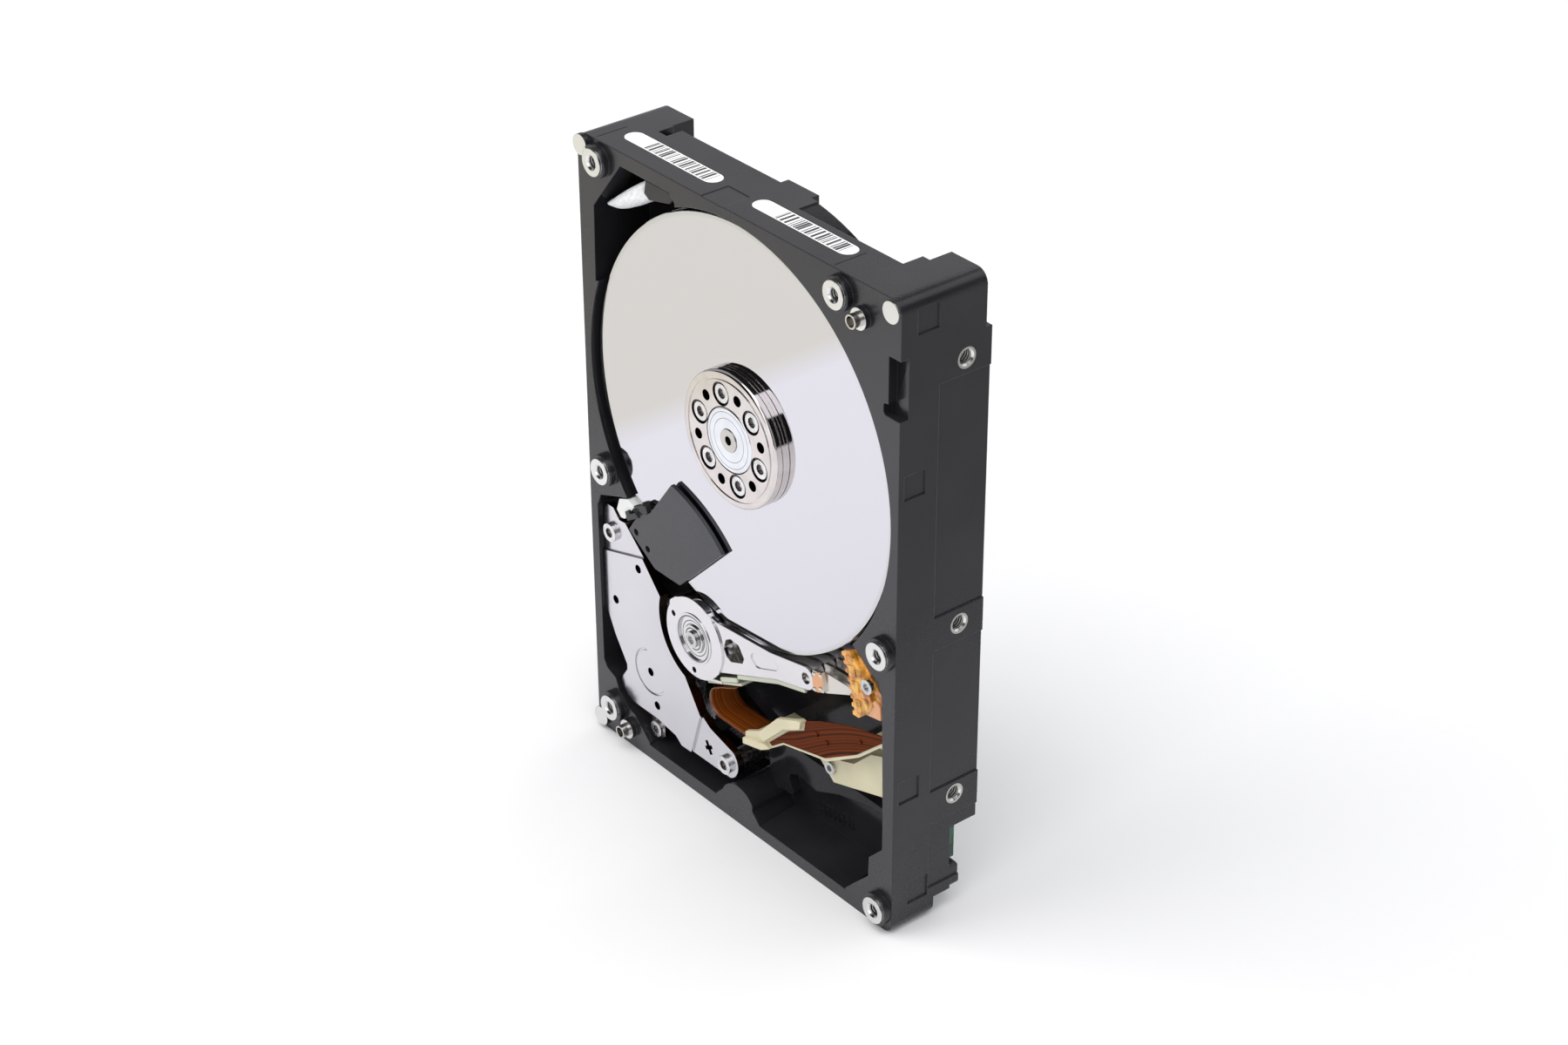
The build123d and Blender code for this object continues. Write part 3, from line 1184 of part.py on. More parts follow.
# ribbon standing on edge: from the preamp board round a U-turn to the bracket
LOOP_T = 0.2
with BuildPart() as flex_loop:
    with BuildSketch(Plane.XZ.offset(RIM - 1.6)):
        with BuildLine():
            Line((-4.9, 31.9), (-9.2, 29.9))
            ThreePointArc((-9.2, 29.9), (-11.7, 26.1), (-8.2, 23.0))
            Polyline((-8.2, 23.0), (0.6, 22.9), (0.6, 22.7), (-8.2, 22.8))
            ThreePointArc((-8.2, 22.8), (-11.9, 26.1), (-9.3, 30.1))
            Polyline((-9.3, 30.1), (-5.0, 32.1), (-4.9, 31.9))
        make_face()
    extrude(amount=-7.6)
flex_loop.part.label = "flex_loop"


# =====================================================================
# barcode labels on the far end
# =====================================================================
with BuildPart() as end_label_left:
    with BuildSketch(Plane.XY.offset(LENGTH - 0.12)):
        with Locations((-27.3, -RIM + 6.9)):
            SlotOverall(30.0, 4.4)
    extrude(amount=0.1)
end_label_left.part.label = "end_label_left"

with BuildPart() as end_label_right:
    with BuildSketch(Plane.XY.offset(LENGTH - 0.12)):
        with Locations((14.3, -RIM + 6.9)):
            SlotOverall(30.0, 4.4)
    extrude(amount=0.1)
end_label_right.part.label = "end_label_right"


# =====================================================================
# files
# =====================================================================
os.makedirs("parts", exist_ok=True)
export_step(base_casting.part, "parts/base_casting.step")
export_step(locating_dowels.part, "parts/locating_dowels.step")
export_step(circuit_board.part, "parts/circuit_board.step")
export_step(controller_chip.part, "parts/controller_chip.step")
export_step(memory_chip.part, "parts/memory_chip.step")
export_step(motor_driver_chip.part, "parts/motor_driver_chip.step")
export_step(board_passives.part, "parts/board_passives.step")
export_step(board_insulator.part, "parts/board_insulator.step")
export_step(board_screws.part, "parts/board_screws.step")
export_step(serial_connector.part, "parts/serial_connector.step")
export_step(connector_contacts.part, "parts/connector_contacts.step")
export_step(spindle_shaft.part, "parts/spindle_shaft.step")
export_step(stator_core.part, "parts/stator_core.step")
export_step(stator_coils.part, "parts/stator_coils.step")
export_step(spindle_hub.part, "parts/spindle_hub.step")
export_step(rotor_magnet.part, "parts/rotor_magnet.step")
export_step(platter_1.part, "parts/platter_1.step")
export_step(platter_2.part, "parts/platter_2.step")
export_step(platter_3.part, "parts/platter_3.step")
export_step(platter_4.part, "parts/platter_4.step")
export_step(platter_spacers.part, "parts/platter_spacers.step")
export_step(disk_clamp.part, "parts/disk_clamp.step")
export_step(clamp_screws.part, "parts/clamp_screws.step")
export_step(upper_yoke.part, "parts/upper_yoke.step")
export_step(lower_yoke.part, "parts/lower_yoke.step")
export_step(upper_magnet.part, "parts/upper_magnet.step")
export_step(lower_magnet.part, "parts/lower_magnet.step")
export_step(yoke_standoffs.part, "parts/yoke_standoffs.step")
export_step(crash_stops.part, "parts/crash_stops.step")
export_step(yoke_screws.part, "parts/yoke_screws.step")
export_step(tab_screw.part, "parts/tab_screw.step")
export_step(pivot_shaft.part, "parts/pivot_shaft.step")
export_step(pivot_screw.part, "parts/pivot_screw.step")
export_step(pivot_bearing.part, "parts/pivot_bearing.step")
export_step(arm_block.part, "parts/arm_block.step")
export_step(voice_coil.part, "parts/voice_coil.step")
export_step(coil_frame.part, "parts/coil_frame.step")
export_step(suspensions.part, "parts/suspensions.step")
export_step(head_sliders.part, "parts/head_sliders.step")
export_step(beam_mounts.part, "parts/beam_mounts.step")
export_step(arm_flexures.part, "parts/arm_flexures.step")
export_step(preamp_board.part, "parts/preamp_board.step")
export_step(preamp_chip.part, "parts/preamp_chip.step")
export_step(ramp.part, "parts/ramp.step")
export_step(ramp_screw.part, "parts/ramp_screw.step")
export_step(air_damper.part, "parts/air_damper.step")
export_step(damper_retainer.part, "parts/damper_retainer.step")
export_step(recirculation_filter.part, "parts/recirculation_filter.step")
export_step(filter_holder.part, "parts/filter_holder.step")
export_step(flex_bracket.part, "parts/flex_bracket.step")
export_step(bracket_flex.part, "parts/bracket_flex.step")
export_step(feedthrough_block.part, "parts/feedthrough_block.step")
export_step(bracket_screw.part, "parts/bracket_screw.step")
export_step(flex_loop.part, "parts/flex_loop.step")
export_step(end_label_left.part, "parts/end_label_left.step")
export_step(end_label_right.part, "parts/end_label_right.step")
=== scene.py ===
import json
import math

import bmesh
import bpy
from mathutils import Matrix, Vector


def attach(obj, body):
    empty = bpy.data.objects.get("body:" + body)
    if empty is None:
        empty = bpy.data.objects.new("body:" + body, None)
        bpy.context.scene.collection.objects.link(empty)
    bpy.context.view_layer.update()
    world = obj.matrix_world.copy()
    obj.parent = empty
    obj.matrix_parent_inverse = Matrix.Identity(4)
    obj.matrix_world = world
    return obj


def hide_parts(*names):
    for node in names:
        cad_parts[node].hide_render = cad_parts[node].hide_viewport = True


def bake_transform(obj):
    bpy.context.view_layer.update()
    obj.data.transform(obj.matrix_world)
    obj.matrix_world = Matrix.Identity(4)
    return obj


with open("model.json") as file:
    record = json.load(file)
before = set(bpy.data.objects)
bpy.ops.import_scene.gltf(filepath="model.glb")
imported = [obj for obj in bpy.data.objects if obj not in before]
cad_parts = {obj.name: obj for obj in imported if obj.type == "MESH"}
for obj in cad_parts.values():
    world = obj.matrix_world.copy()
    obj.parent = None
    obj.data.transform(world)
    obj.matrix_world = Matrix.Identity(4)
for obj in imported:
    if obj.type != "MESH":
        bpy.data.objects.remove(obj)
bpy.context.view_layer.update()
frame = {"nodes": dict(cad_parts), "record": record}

MM = 0.001
RIM = -9.95               # y of the machined front rim, mm
SPIN = (0.0, 0.0962)      # spindle axis, x and z
PIV = (-0.0143, 0.0408)   # actuator axis, x and z
ARM = math.radians(13.5)  # rise of the parked arm
SIDE_Z = (28.5, 70.1, 130.1)  # heights of the side holes, mm
SIDE_DEPTH = 16.65        # their axis, behind the rim, mm


# ---------------------------------------------------------------- node helpers
class Mat:
    """A Principled material with small helpers for procedural detail."""

    def __init__(self, name, color, rough, metal=0.0, **inputs):
        self.m = bpy.data.materials.new(name)
        self.m.use_nodes = True
        self.t = self.m.node_tree
        self.b = self.t.nodes["Principled BSDF"]
        self.b.inputs["Base Color"].default_value = (*color, 1)
        self.b.inputs["Roughness"].default_value = rough
        self.b.inputs["Metallic"].default_value = metal
        for key, value in inputs.items():
            self.b.inputs[key.replace("_", " ")].default_value = value
        self.normal = None
        self.object_coords = None

    def node(self, kind, **attrs):
        n = self.t.nodes.new("ShaderNode" + kind)
        for key, value in attrs.items():
            setattr(n, key, value)
        return n

    def link(self, a, b):
        self.t.links.new(a, b)

    def coords(self):
        if self.object_coords is None:
            self.object_coords = self.node("TexCoord").outputs["Object"]
        return self.object_coords

    def axis(self, which, offset=0.0):
        sep = self.node("SeparateXYZ")
        self.link(self.coords(), sep.inputs[0])
        out = sep.outputs[which]
        return self.math("ADD", out, -offset) if offset else out

    def math(self, op, a, b=None, clamp=False):
        n = self.node("Math", operation=op, use_clamp=clamp)
        for i, v in enumerate((a, b)):
            if v is None:
                continue
            if isinstance(v, (int, float)):
                n.inputs[i].default_value = v
            else:
                self.link(v, n.inputs[i])
        return n.outputs[0]

    def distance(self, a, b):
        """Length of the flat vector (a, b)."""
        squares = self.math("ADD", self.math("MULTIPLY", a, a), self.math("MULTIPLY", b, b))
        return self.math("SQRT", squares)

    def radius(self, cx, cz):
        """Distance from an axis parallel to Y."""
        return self.distance(self.axis("X", cx), self.axis("Z", cz))

    def facing_y(self):
        """1 on faces square to Y, 0 on the walls round the axis."""
        sep = self.node("SeparateXYZ")
        self.link(self.node("NewGeometry").outputs["Normal"], sep.inputs[0])
        return self.span(self.math("ABSOLUTE", sep.outputs["Y"]), 0.3, 0.9)

    def along(self, angle):
        """Distance along a direction in the XZ plane."""
        x = self.math("MULTIPLY", self.axis("X"), math.cos(angle))
        z = self.math("MULTIPLY", self.axis("Z"), math.sin(angle))
        return self.math("ADD", x, z)

    def noise(self, scale, detail=3.0, rough=0.5, stretch=None, one=None):
        n = self.node("TexNoise")
        n.inputs["Scale"].default_value = scale
        n.inputs["Detail"].default_value = detail
        n.inputs["Roughness"].default_value = rough
        if one is not None:
            n.noise_dimensions = "1D"
            self.link(one, n.inputs["W"])
        elif stretch:
            mp = self.node("Mapping")
            mp.inputs["Scale"].default_value = stretch
            self.link(self.coords(), mp.inputs[0])
            self.link(mp.outputs[0], n.inputs["Vector"])
        else:
            self.link(self.coords(), n.inputs["Vector"])
        return n.outputs["Fac"]

    def span(self, value, a, b, lo=0.0, hi=1.0):
        n = self.node("MapRange")
        n.inputs["From Min"].default_value = a
        n.inputs["From Max"].default_value = b
        n.inputs["To Min"].default_value = lo
        n.inputs["To Max"].default_value = hi
        self.link(value, n.inputs["Value"])
        return n.outputs[0]

    def mix(self, fac, a, b):
        n = self.node("Mix", data_type="RGBA")
        self.link(fac, n.inputs["Factor"])
        for sock, v in (("A", a), ("B", b)):
            s = [i for i in n.inputs if i.name == sock and i.type == "RGBA"][0]
            if isinstance(v, tuple):
                s.default_value = (*v, 1)
            else:
                self.link(v, s)
        return [o for o in n.outputs if o.type == "RGBA"][0]

    def color(self, sock):
        self.link(sock, self.b.inputs["Base Color"])
        return self

    def rough(self, sock):
        self.link(sock, self.b.inputs["Roughness"])
        return self

    def bevel(self, radius):
        """Rounds hard edges in shading only."""
        n = self.node("Bevel", samples=4)
        n.inputs["Radius"].default_value = radius
        self.normal = n.outputs[0]
        return self

    def bump(self, height, strength, distance):
        n = self.node("Bump")
        n.inputs["Strength"].default_value = strength
        n.inputs["Distance"].default_value = distance
        self.link(height, n.inputs["Height"])
        if self.normal is not None:
            self.link(self.normal, n.inputs["Normal"])
        self.normal = n.outputs[0]
        return self

    def done(self):
        if self.normal is not None:
            self.link(self.normal, self.b.inputs["Normal"])
        return self.m


# ---------------------------------------------------------------- materials
SPOT_FACE = 0.0023       # radius of the bare ring round a side hole
SIDE_WALL = 0.0504       # the rings lie further out than this


def coated_casting(name, rough, ior, bumps, spot_faces=()):
    """Black electro-coated aluminium. spot_faces are the z of bare rings round the side holes."""
    k = Mat(name, (0.013, 0.013, 0.0155), rough, IOR=ior, Specular_Tint=(0.93, 0.92, 1.0, 1.0))
    fine = k.noise(2600, 2)
    black = k.mix(k.span(k.noise(60, 4), 0.3, 0.75), (0.0105, 0.0105, 0.0125), (0.018, 0.0178, 0.0195))
    patchy = k.span(k.noise(35, 3), 0.3, 0.7, rough * 0.85, rough * 1.15)
    if spot_faces:
        near = None
        for z in spot_faces:
            r = k.distance(k.axis("Y", (RIM + SIDE_DEPTH) * MM), k.axis("Z", z))
            near = r if near is None else k.math("MINIMUM", near, r)
        on_side = k.math("GREATER_THAN", k.math("ABSOLUTE", k.axis("X")), SIDE_WALL)
        bare = k.math("MULTIPLY", k.math("LESS_THAN", near, SPOT_FACE), on_side)
        black = k.mix(bare, black, (0.62, 0.62, 0.6))
        k.link(bare, k.b.inputs["Metallic"])
    k.color(black)
    k.rough(k.math("ADD", patchy, k.span(fine, 0.3, 0.7, -0.02, 0.02)))
    k.bevel(0.00035)
    k.bump(fine, 0.05 * bumps, 0.00005)
    k.bump(k.noise(240, 3), 0.05 * bumps, 0.0002)
    return k.done()


def turned(name, color, rough, centre, groove=0.05, radius=0.0002, lines=()):
    """Lathe-turned metal with rings about one axis, and dark lines of painted shade where gaps between its
    rings lie: (radius, half width) each.
    """
    k = Mat(name, color, rough, 1.0)
    r = k.radius(*centre)
    uneven = k.math("ADD", k.noise(9000, 2, one=r), -0.5)
    rings = k.math("ADD", k.math("MULTIPLY", uneven, k.facing_y()), 0.5)
    k.rough(k.span(rings, 0.3, 0.7, rough * 0.7, rough * 1.35))
    tint_and_shade = k.mix(k.span(k.noise(300, 2), 0.35, 0.7), color, tuple(c * 0.9 for c in color))
    # painted shade: each line darkens the colour at a gap between rings
    for r0, half in lines:
        away = k.math("ABSOLUTE", k.math("ADD", r, -r0))
        tint_and_shade = k.mix(k.span(away, half, half * 0.4), tint_and_shade, (0.12, 0.12, 0.125))
    k.color(tint_and_shade)
    k.bevel(radius)
    k.bump(rings, groove, 0.00003)
    return k.done()


def satin_metal(name, color, rough, stretch=(400, 2500, 400)):
    """Milled or stamped metal with a fine directional grain."""
    k = Mat(name, color, rough, 1.0)
    lay = k.noise(1.0, 3, stretch=stretch)
    k.rough(k.span(lay, 0.3, 0.7, rough * 0.85, rough * 1.15))
    k.color(k.mix(k.span(k.noise(70, 2), 0.3, 0.75), color, tuple(c * 0.94 for c in color)))
    k.bevel(0.0002)
    k.bump(lay, 0.024, 0.00004)
    return k.done()


def moulded(name, color, rough, grain=900, depth=0.00004, strength=0.25, **inputs):
    """Moulded plastic with a fine texture."""
    k = Mat(name, color, rough, **inputs)
    n = k.noise(grain, 3)
    k.color(k.mix(k.span(k.noise(70, 3), 0.3, 0.75), color, tuple(c * 0.82 for c in color)))
    k.rough(k.span(n, 0.3, 0.7, rough * 0.85, min(1.0, rough * 1.15)))
    k.bevel(0.0002)
    k.bump(n, strength, depth)
    return k.done()


def screw_metal(name, color):
    """Plated fastener metal, slightly uneven."""
    k = Mat(name, color, 0.28, 1.0)
    n = k.noise(1800, 3)
    k.rough(k.span(n, 0.3, 0.7, 0.2, 0.36))
    k.color(k.mix(k.span(k.noise(700, 2), 0.3, 0.7), color, tuple(c * 0.8 for c in color)))
    k.bevel(0.00012)
    k.bump(n, 0.08, 0.00003)
    return k.done()


THREAD_PITCH = 0.0006


def thread_metal(axis):
    """Cut thread: fine pitched ridges along the hole, with painted shade in their roots."""
    k = Mat("cut_thread_" + axis, (0.6, 0.59, 0.57), 0.3, 1.0)
    s = k.math("SINE", k.math("MULTIPLY", k.axis(axis), 2 * math.pi / THREAD_PITCH))
    # painted shade: the colour runs from dark in the thread roots to light on the crests
    k.color(k.mix(k.span(s, -1.0, 1.0), (0.08, 0.075, 0.07), (0.66, 0.65, 0.63)))
    k.rough(k.span(k.noise(1500, 2), 0.3, 0.7, 0.25, 0.4))
    k.bump(s, 0.9, 0.0002)
    return k.done()


def mirror_platter():
    """Polished disk with faint turning rings and a duller edge."""
    k = Mat("platter_mirror", (0.68, 0.67, 0.715), 0.02, 1.0)
    r = k.radius(*SPIN)
    edge = k.span(r, 0.0463, 0.0468)
    rings = k.span(k.noise(9000, 1, one=r), 0.3, 0.7, 0.0, 0.008)
    k.rough(k.math("ADD", k.span(edge, 0.0, 1.0, 0.018, 0.10), rings))
    k.color(k.mix(edge, (0.685, 0.678, 0.72), (0.62, 0.62, 0.63)))
    return k.done()


def solder_mask():
    """Green board finish over two sets of thin traces, broken up by larger patches."""
    k = Mat("green_solder_mask", (0.008, 0.06, 0.035), 0.28, Coat_Weight=0.25)

    def traces(across, wander_scale, where):
        wander = k.math("MULTIPLY", k.noise(wander_scale, 0), 0.004)
        wave = k.math("SINE", k.math("MULTIPLY", k.math("ADD", across, wander), 6400))
        return k.math("MULTIPLY", k.span(wave, 0.2, 0.5), where)

    patch = k.noise(90, 1)
    lines = k.math("ADD", traces(k.axis("X"), 45, k.span(patch, 0.5, 0.52)),
                   traces(k.axis("Z"), 52, k.span(patch, 0.46, 0.44)), clamp=True)
    k.color(k.mix(lines, (0.006, 0.045, 0.028), (0.014, 0.105, 0.06)))
    k.rough(k.span(k.noise(600, 2), 0.3, 0.7, 0.24, 0.36))
    k.bevel(0.0001)
    k.bump(lines, 0.35, 0.00004)
    return k.done()


def film(name, base, trace, angle=None):
    """Polyimide film with uneven copper traces. It lies flat with them across angle, or stands upright."""
    upright = angle is None
    k = Mat(name, base, 0.2, IOR=1.5 if upright else 1.12, Coat_Weight=0.4 if upright else 0.0)
    across = k.axis("Y") if upright else k.along(angle)
    bend = k.math("MULTIPLY", k.noise(38, 1), 0.0012 if upright else 0.006)
    t = k.noise(1900, 2, 0.6, one=k.math("ADD", across, bend))
    wide = k.noise(420, 1, one=k.math("ADD", across, bend))
    dark = k.math("MULTIPLY", k.span(t, 0.42, 0.62), k.span(wide, 0.25, 0.7, 0.45, 1.0), clamp=True)
    k.color(k.mix(dark, base, trace))
    k.rough(k.span(k.noise(300, 3), 0.3, 0.7, 0.12, 0.26))
    k.bump(t, 0.35, 0.00005)
    return k.done()


LABEL_Y = -0.00305       # middle line of the end labels
BAR_HALF_HEIGHT = 0.0019


def label(name, x0, x1):
    """White label, with plain bars of differing widths from x0 to x1."""
    k = Mat(name, (0.86, 0.86, 0.85), 0.5)
    x = k.axis("X")
    y = k.axis("Y")
    bars = k.span(k.noise(1500, 0, one=x), 0.497, 0.503)
    inside = k.math("MULTIPLY", k.math("GREATER_THAN", x, x0), k.math("LESS_THAN", x, x1))
    height = k.math("LESS_THAN", k.math("ABSOLUTE", k.math("ADD", y, -LABEL_Y)), BAR_HALF_HEIGHT)
    ink = k.math("MULTIPLY", k.math("MULTIPLY", bars, inside), height)
    k.color(k.mix(ink, (0.86, 0.86, 0.85), (0.02, 0.02, 0.025)))
    k.bump(k.noise(2500, 2), 0.15, 0.00002)
    return k.done()


def nonwoven():
    """Matted filter cloth."""
    k = Mat("filter_cloth", (0.82, 0.83, 0.84), 0.85, Sheen_Weight=0.3)
    fibres = k.noise(1.0, 4, stretch=(1600, 2600, 900))
    k.color(k.mix(k.span(fibres, 0.3, 0.75), (0.86, 0.87, 0.88), (0.62, 0.64, 0.66)))
    k.bump(fibres, 0.5, 0.0001)
    k.bump(k.noise(350, 3), 0.35, 0.0003)
    return k.done()


def amber():
    """Clear amber moulding, with painted light: random lighter and darker patches in its colour stand in
    for light passing through its thickness.
    """
    k = Mat("ramp_amber", (0.7, 0.28, 0.04), 0.14,
            Subsurface_Weight=0.5, Subsurface_Scale=0.002, Coat_Weight=0.4)
    inner = k.noise(420, 2, 0.6)
    # painted light: the colour runs from dark to bright amber in random patches
    k.color(k.mix(k.span(inner, 0.38, 0.62), (0.34, 0.11, 0.012), (0.86, 0.41, 0.075)))
    k.rough(k.span(k.noise(800, 2), 0.3, 0.7, 0.08, 0.22))
    k.bevel(0.00015)
    k.bump(inner, 0.3, 0.0002)
    return k.done()


EVEN = (900, 900, 900)   # a grain with no direction

M = {
    "casting": coated_casting("black_ecoat", 0.25, 1.56, 0.3, [z * MM for z in SIDE_Z]),
    "casting_inner": coated_casting("black_ecoat_inner", 0.11, 1.27, 0.5),
    "machined": satin_metal("machined_face", (0.78, 0.78, 0.77), 0.22, stretch=(2500, 2500, 2500)),
    "thread_y": thread_metal("Y"),
    "thread_x": thread_metal("X"),
    "steel_pin": turned("pin_steel", (0.68, 0.66, 0.62), 0.22, (0.0, 0.0), 0.03),
    "pcb_green": solder_mask(),
    "chip_black": moulded("chip_epoxy", (0.012, 0.012, 0.012), 0.5, 1500),
    "passive_tan": moulded("ceramic_passive", (0.3, 0.2, 0.12), 0.4, 1200),
    "foam_grey": moulded("insulator_foam", (0.05, 0.05, 0.052), 0.9, 1400, 0.0002, 0.6),
    "screw_steel": screw_metal("screw_zinc", (0.66, 0.66, 0.66)),
    "screw_bright": screw_metal("screw_bright", (0.84, 0.84, 0.85)),
    "connector_black": moulded("connector_black", (0.01, 0.01, 0.01), 0.38, 1100),
    "contact_gold": satin_metal("gold_flash", (0.83, 0.58, 0.22), 0.25),
    # the dark lines on the pivot bearing and on the hub are painted shade in the gaps between their rings
    "shaft_steel": turned("bearing_steel", (0.76, 0.76, 0.77), 0.16, PIV, 0.006, 0.0001,
                          [(0.0053, 0.00022), (0.0041, 0.00016), (0.0033, 0.00014), (0.0025, 0.0002)]),
    "spindle_steel": turned("spindle_steel", (0.62, 0.6, 0.57), 0.18, SPIN, 0.05),
    "stator_steel": satin_metal("stator_lamination", (0.25, 0.25, 0.26), 0.4),
    "copper_wire": satin_metal("enamelled_copper", (0.62, 0.22, 0.07), 0.3, stretch=(900, 5000, 900)),
    "hub_nickel": turned("hub_turned", (0.80, 0.82, 0.86), 0.12, SPIN, 0.03, 0.0002,
                         [(0.0048, 0.00008), (0.0062, 0.00008)]),
    "magnet_dark": moulded("magnet_coating", (0.02, 0.02, 0.022), 0.4, 900),
    "platter_mirror": mirror_platter(),
    "spacer_aluminium": turned("spacer_aluminium", (0.75, 0.74, 0.72), 0.12, SPIN, 0.04),
    "clamp_steel": turned("clamp_turned", (0.71, 0.665, 0.65), 0.06, SPIN, 0.03, 0.00012),
    # painted shade: dark metal for the walls of bores and screw recesses
    "bore_painted_shade": satin_metal("bore_painted_shade", (0.09, 0.07, 0.065), 0.2, EVEN),
    "yoke_nickel": satin_metal("yoke_nickel", (0.68, 0.67, 0.705), 0.22, EVEN),
    # painted shade and reflection: dark brown for the yokes' edge walls
    "yoke_edge_painted_shade": satin_metal("yoke_edge_painted_shade", (0.16, 0.11, 0.09), 0.18, EVEN),
    "magnet_nickel": satin_metal("magnet_nickel", (0.6, 0.6, 0.62), 0.25, EVEN),
    "standoff_steel": screw_metal("standoff_steel", (0.6, 0.6, 0.6)),
    "rubber_black": moulded("stop_rubber", (0.012, 0.012, 0.012), 0.75, 1000),
    "arm_aluminium": satin_metal("arm_aluminium", (0.76, 0.75, 0.77), 0.17, stretch=(500, 3000, 1800)),
    "coil_plastic": moulded("coil_overmould", (0.02, 0.02, 0.022), 0.45, 900),
    "beam_steel": satin_metal("beam_steel", (0.72, 0.69, 0.64), 0.22),
    "slider_ceramic": moulded("slider_ceramic", (0.02, 0.02, 0.025), 0.2, 2000),
    "flexure_cream": moulded("flexure_film", (0.52, 0.54, 0.43), 0.35, 2400, 0.00012, 0.7),
    "ramp_amber": amber(),
    "ramp_peach": moulded("ramp_peach", (0.72, 0.36, 0.19), 0.25,
                          Subsurface_Weight=0.4, Subsurface_Scale=0.002),
    "damper_grey": moulded("damper_grey", (0.026, 0.027, 0.034), 0.34, 1000, IOR=1.55),
    "plastic_white": moulded("retainer_white", (0.78, 0.79, 0.78), 0.4, 900),
    "filter_cloth": nonwoven(),
    "plastic_black": moulded("holder_black", (0.012, 0.012, 0.013), 0.4, 900),
    "bracket_cream": moulded("bracket_cream", (0.66, 0.61, 0.42), 0.34,
                             Subsurface_Weight=0.2, Subsurface_Scale=0.001),
    "flex_brown": film("flex_flat", (0.12, 0.022, 0.002), (0.022, 0.005, 0.001), math.radians(118)),
    "flex_upright": film("flex_upright", (0.24, 0.058, 0.007), (0.04, 0.011, 0.003)),
    "copper_tab": satin_metal("copper_tab", (0.78, 0.42, 0.23), 0.18),
    "label_left": label("label_left", -0.0350, -0.0145),
    "label_right": label("label_right", 0.0072, 0.0266),
}

slots = {s["node"]: s["material_slot"] for s in frame["record"]["subparts"]}


def give(obj, *mats):
    obj.data.materials.clear()
    for m in mats:
        obj.data.materials.append(m)


for node, obj in frame["nodes"].items():
    key = slots[node]
    if key == "label_white":
        key = "label_left" if node.endswith("left") else "label_right"
    if node == "spindle_shaft":
        key = "spindle_steel"
    if node == "clamp_screws":
        key = "screw_bright"
    give(obj, M[key])

# faces of the casting: 1 machined, 2 threads along Y, 3 threads along X, 4 the inside
base = frame["nodes"]["base_casting"]
give(base, M["casting"], M["machined"], M["thread_y"], M["thread_x"], M["casting_inner"])

# all in mm: places are (x, z), and depth is measured back from the rim
POSTS = [(-43.6, 142.5), (33.2, 142.5), (-44.8, 69.0), (46.9, 67.9), (-44.3, 7.8), (46.9, 5.0)]
PADS = [(47.9, 144.1)]
TALL_PADS = [(-48.45, 144.65), (-48.45, 3.2)]
DOWELS = [(39.7, 139.8), (-38.8, 4.6)]
REAR_HOLES = [(x, z) for x in (-47.625, 47.625) for z in (41.28, 85.73)]
POST_BORE, POST_COLLAR, POST_TOP = 1.27, 1.75, 3.03
PAD_TOP = 2.32
MOUNT_BORE = 1.42        # side and rear holes
SIDE_RING = 1.9
RIM_LEVEL = -0.02        # a face in front of this stands proud of the rim
POST_FACE = -1.41        # the tops of the posts lie in front of this
TALL_FACE = -1.1         # the tops of the dowel bosses and tall pads lie in front of this
POST_THREAD_END = 6.5
REAR_THREAD_START = 16.9
INNER_X = 48.6
INNER_Z = (2.7, 144.0)
INNER_DEPTH = (0.05, 14.5)
BOSS_X = 45.7            # the side holes reach in to here
BOSS_HALF = 2.02
SIDE_FACE = 50.79        # just short of the outer side face


def within(c, places, reach):
    """True if the point c is nearer than reach to one of the places, seen along Y."""
    return any(math.hypot(c.x - x, c.z - z) < reach for x, z in places)


def proud_face(c, depth, wall):
    """Material index of a face that stands proud of the rim."""
    i = 0
    if wall and within(c, POSTS, POST_BORE):
        i = 2
    elif within(c, POSTS, POST_COLLAR) or (depth < POST_FACE and within(c, POSTS, POST_TOP)):
        i = 1
    if within(c, PADS, PAD_TOP) or (depth < TALL_FACE and within(c, DOWELS + TALL_PADS, PAD_TOP)):
        i = 1
    return i


def side_hole_face(c, depth):
    """Material index of a face in or round a side hole, or None elsewhere."""
    if abs(depth - SIDE_DEPTH) >= BOSS_HALF or abs(c.x) <= BOSS_X:
        return None
    r = min(math.hypot(depth - SIDE_DEPTH, c.z - z) for z in SIDE_Z)
    if r < MOUNT_BORE:
        return 3
    return 1 if r < SIDE_RING and abs(c.x) < SIDE_FACE else None


for poly in base.data.polygons:
    c = poly.center / MM
    depth = c.y - RIM
    i = 0
    if depth < RIM_LEVEL:
        i = proud_face(c, depth, abs(poly.normal.y) < 0.5)
    elif depth < POST_THREAD_END and within(c, POSTS, POST_BORE):
        i = 2
    inner = INNER_DEPTH[0] < depth < INNER_DEPTH[1] and INNER_Z[0] < c.z < INNER_Z[1]
    if i == 0 and inner and abs(c.x) < INNER_X:
        i = 4
    side = side_hole_face(c, depth)
    if side is not None:
        i = side
    if depth > REAR_THREAD_START and within(c, REAR_HOLES, MOUNT_BORE):
        i = 2
    poly.material_index = i


